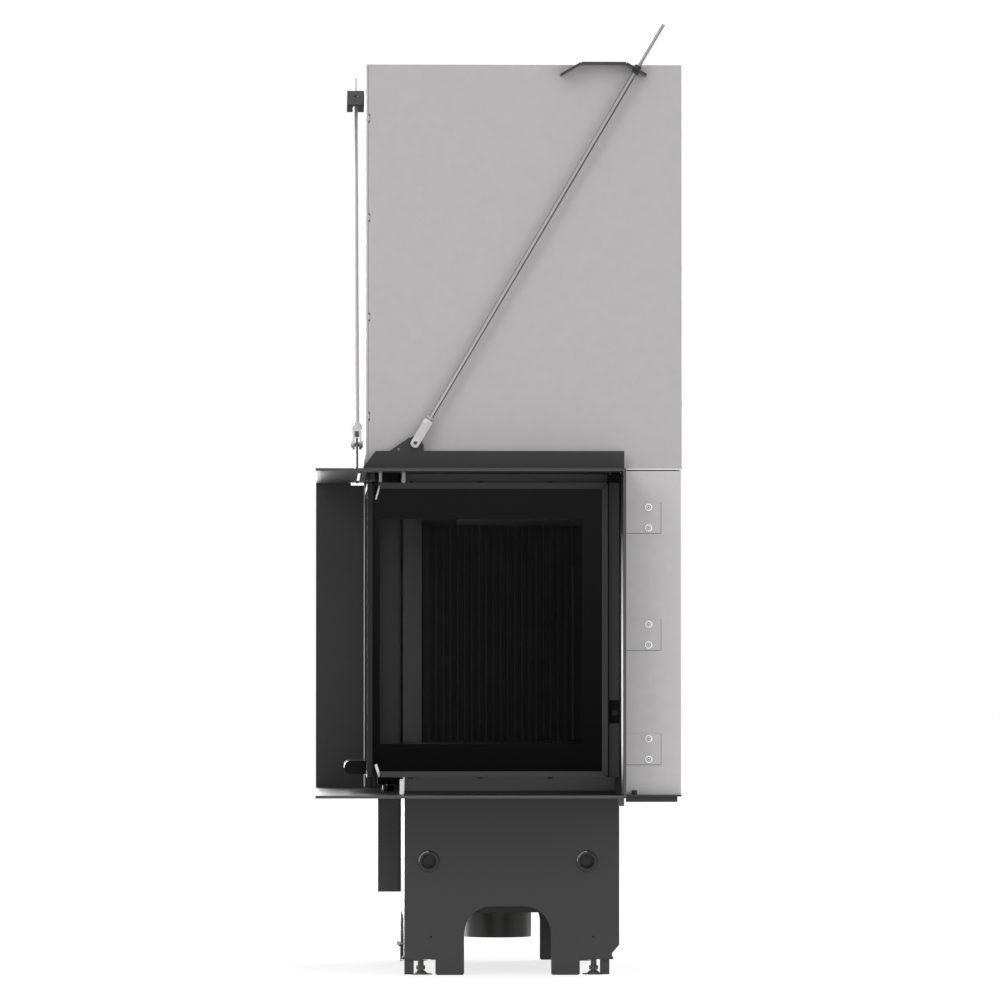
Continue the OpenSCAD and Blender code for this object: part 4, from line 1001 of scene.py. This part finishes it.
class INSERT_OT_fittings(StepBase, bpy.types.Operator):
    """Tie rods, fasteners, catch, pulleys, counterweights and feet"""

    bl_idname = "insert.fittings"
    bl_label = "Rods and Fittings"

    def execute(self, context):
        finishes = self.finishes(context)
        dress(turned_steel("fork_steel", finishes.turned_steel, 0.5, 0.34), "rod_clevises")
        bright = turned_steel("bright_steel", finishes.turned_steel, 0.74, 0.3)
        dress(bright, "tie_rods")
        # Paints shade along both sides of the side rod.
        shade_rod(bright, finishes)
        low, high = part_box("rod_fasteners")
        dress(nut_zinc(finishes.dark_zinc, finishes.turned_steel, low, high), "rod_fasteners")
        lock_nut(finishes)
        dress(turned_steel("catch_steel", finishes.catch, 0.4, 0.4), "latch")
        pin_head(finishes)
        dress(
            turned_steel("foot_zinc", finishes.foot_zinc, 0.4, 0.5),
            "foot_front_glass",
            "foot_rear_glass",
            "foot_front_wall",
            "foot_rear_wall",
        )
        pulley = turned_steel("pulley_steel", finishes.dark_zinc, 0.5, 0.45)
        dress(pulley, "pulley_rear", "pulley_front")
        dress(raw_iron(finishes.raw_iron), "weight_rear", "weight_front")
        return {"FINISHED"}


class INSERT_OT_cables(StepBase, bpy.types.Operator):
    """Stranded cables between the door, the pulleys and the counterweights"""

    bl_idname = "insert.cables"
    bl_label = "Cables"

    def execute(self, context):
        sizes = self.sizes(context)
        wire = turned_steel("steel_wire", self.finishes(context).wire, 0.7, 0.4)
        dress(wire, "cable_bends")
        low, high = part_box("cables_door")
        r = 2 * MM
        x, y = high.x - r, high.y - r
        cable("door_cable_rear", sizes, wire, x, y, low.z, "cables_door")
        cable("door_cable_front", sizes, wire, low.x + r, low.y + r, low.z)
        for node, body in (
            ("cable_weight_rear", "side_counterweight"),
            ("cable_weight_front", "front_counterweight"),
        ):
            low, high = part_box(node)
            x, y = low.x + r, low.y + r
            cable(node + "_strands", sizes, wire, x, y, low.z, node)
        return {"FINISHED"}


CAMERA_SPOT = (12.2025, -0.3179, 0.5515)
CAMERA_AIM = (-1.0, 0.0268, 0.02526)
CAMERA_LENS_MM = 239.4
SENSOR_MM = 36.0
# Point that the lamps are aimed at
MIDDLE = (0, 0, 0.8)
WHITE = (1, 1, 1, 1)


def place_camera():
    """Camera at the photograph's viewing angle."""
    data = bpy.data.cameras.new("camera")
    data.lens = CAMERA_LENS_MM
    data.sensor_width = SENSOR_MM
    data.clip_end = 100
    camera = bpy.data.objects.new("camera", data)
    bpy.context.scene.collection.objects.link(camera)
    camera.rotation_mode = "QUATERNION"
    camera.location = CAMERA_SPOT
    camera.rotation_quaternion = Vector(CAMERA_AIM).to_track_quat("-Z", "Y")
    bpy.context.scene.camera = camera


def seen_ray(tree):
    """1 for camera, glossy and transmission rays, 0 for the rays that only light the object."""
    path = add(tree, "ShaderNodeLightPath").outputs
    seen = path["Is Camera Ray"]
    for ray in ("Is Glossy Ray", "Is Transmission Ray"):
        either = {0: seen, 1: path[ray]}
        seen = add(tree, "ShaderNodeMath", {"operation": "MAXIMUM"}, either).outputs[0]
    return seen


def light_world():
    """White surroundings, with a softer light from them on the object."""
    world = bpy.data.worlds.new("studio")
    bpy.context.scene.world = world
    world.use_nodes = True
    tree = world.node_tree
    tree.nodes.clear()
    levels = {"To Min": 0.85, "To Max": 1.0}
    strength = add(tree, "ShaderNodeMapRange", levels, {"Value": seen_ray(tree)}).outputs["Result"]
    white = add(tree, "ShaderNodeBackground", {"Color": WHITE}, {"Strength": strength})
    add(tree, "ShaderNodeOutputWorld", links={"Surface": white.outputs["Background"]})


def add_lamp(name, spot, size, power):
    """A large soft lamp aimed at the middle of the insert."""
    data = bpy.data.lights.new(name, "AREA")
    data.shape = "SQUARE"
    data.size = size
    data.energy = power
    lamp = bpy.data.objects.new(name, data)
    bpy.context.scene.collection.objects.link(lamp)
    lamp.location = spot
    lamp.rotation_mode = "QUATERNION"
    lamp.rotation_quaternion = (Vector(MIDDLE) - Vector(spot)).to_track_quat("-Z", "Y")
    lamp.visible_glossy = False


def lay_floor():
    """Plain white floor that keeps a soft shadow under the insert."""
    material, tree = bare_material("white_floor")
    half = {"operation": "MULTIPLY", 1: 0.5}
    shown = add(tree, "ShaderNodeMath", half, {0: seen_ray(tree)}).outputs[0]
    paint = add(tree, "ShaderNodeBsdfDiffuse", {"Color": (0.7, 0.7, 0.7, 1)}).outputs[0]
    glow = add(tree, "ShaderNodeEmission", {"Color": WHITE, "Strength": 1.5}).outputs[0]
    mix = add(tree, "ShaderNodeMixShader", links={0: shown, 1: paint, 2: glow})
    add(tree, "ShaderNodeOutputMaterial", links={"Surface": mix.outputs[0]})
    bm = bmesh.new()
    bmesh.ops.create_grid(bm, x_segments=1, y_segments=1, size=40)
    piece_from(bm, "floor", material)


def hang_sheet(name, material, turn, spot, size):
    """A square sheet of the studio that only glossy rays see."""
    quarter = Matrix.Rotation(math.pi / 2, 3, turn)
    bm = bmesh.new()
    bmesh.ops.create_grid(bm, x_segments=1, y_segments=1, size=size)
    bmesh.ops.rotate(bm, verts=bm.verts, cent=(0, 0, 0), matrix=quarter)
    bmesh.ops.translate(bm, verts=bm.verts, vec=spot)
    sheet = piece_from(bm, name, material)
    sheet.visible_camera = False
    sheet.visible_diffuse = False
    sheet.visible_shadow = False


def hang_card(name, turn, spot, size, strength):
    """A card for the reflections: dark ones edge the rods, a bright one grazes the sheets."""
    material, tree = bare_material(name)
    glow = add(tree, "ShaderNodeEmission", {"Color": WHITE, "Strength": strength})
    add(tree, "ShaderNodeOutputMaterial", links={"Surface": glow.outputs[0]})
    hang_sheet(name, material, turn, spot, size)


def hang_flag():
    """Dark cloth behind the camera, paler towards its top, so that the glass mirrors no white."""
    material, tree = bare_material("dark_flag")
    coordinates = add(tree, "ShaderNodeTexCoord").outputs["Object"]
    height = add(tree, "ShaderNodeSeparateXYZ", links={"Vector": coordinates}).outputs["Z"]
    levels = {"From Min": 0.1, "From Max": 1.3, "To Min": 0.04, "To Max": 0.27}
    level = add(tree, "ShaderNodeMapRange", levels, {"Value": height}).outputs["Result"]
    glow = add(tree, "ShaderNodeEmission", {"Color": WHITE}, {"Strength": level})
    add(tree, "ShaderNodeOutputMaterial", links={"Surface": glow.outputs[0]})
    hang_sheet("flag", material, "Y", (12.6, 0, 4.2), 5)


class INSERT_OT_stage(StepBase, bpy.types.Operator):
    """Camera, lamps, floor and surroundings"""

    bl_idname = "insert.stage"
    bl_label = "Studio"

    def execute(self, context):
        place_camera()
        light_world()
        lay_floor()
        hang_flag()
        hang_card("card_right", "X", (1.5, 1.8, 2.52), 2.5, 0.05)
        hang_card("card_left", "X", (2.4, -2.2, 2.52), 2.0, 0.05)
        hang_card("card_back", "Y", (-3, -1.9, 1.92), 1.9, 9)
        add_lamp("key", (4.5, -3.5, 4.0), 3.0, 90)
        add_lamp("fill", (4.5, 3.5, 2.0), 3.0, 60)
        add_lamp("back", (-4.0, 3.0, 4.0), 3.0, 100)
        context.scene.view_settings.view_transform = "Standard"
        return {"FINISHED"}


STEPS = (
    INSERT_OT_stage,
    INSERT_OT_zinc,
    INSERT_OT_body,
    INSERT_OT_collar,
    INSERT_OT_door,
    INSERT_OT_fire,
    INSERT_OT_fittings,
    INSERT_OT_cables,
)


class INSERT_PT_build(bpy.types.Panel):
    """Lists the steps that dress the insert"""

    bl_idname = "INSERT_PT_build"
    bl_label = "Fireplace Insert"
    bl_space_type = "VIEW_3D"
    bl_region_type = "UI"
    bl_category = "Insert"

    def draw(self, context):
        for step in STEPS:
            self.layout.operator(step.bl_idname)


CLASSES = (InsertFinishes, InsertSizes, *STEPS, INSERT_PT_build)


def register():
    for cls in CLASSES:
        bpy.utils.register_class(cls)
    bpy.types.Scene.insert_finishes = PointerProperty(type=InsertFinishes)
    bpy.types.Scene.insert_sizes = PointerProperty(type=InsertSizes)


def unregister():
    del bpy.types.Scene.insert_sizes
    del bpy.types.Scene.insert_finishes
    for cls in reversed(CLASSES):
        bpy.utils.unregister_class(cls)


def main():
    register()
    bpy.ops.insert.stage()
    bpy.ops.insert.zinc()
    bpy.ops.insert.body()
    bpy.ops.insert.collar()
    bpy.ops.insert.door()
    bpy.ops.insert.fire()
    bpy.ops.insert.fittings()
    bpy.ops.insert.cables()


if __name__ == "__main__":
    main()
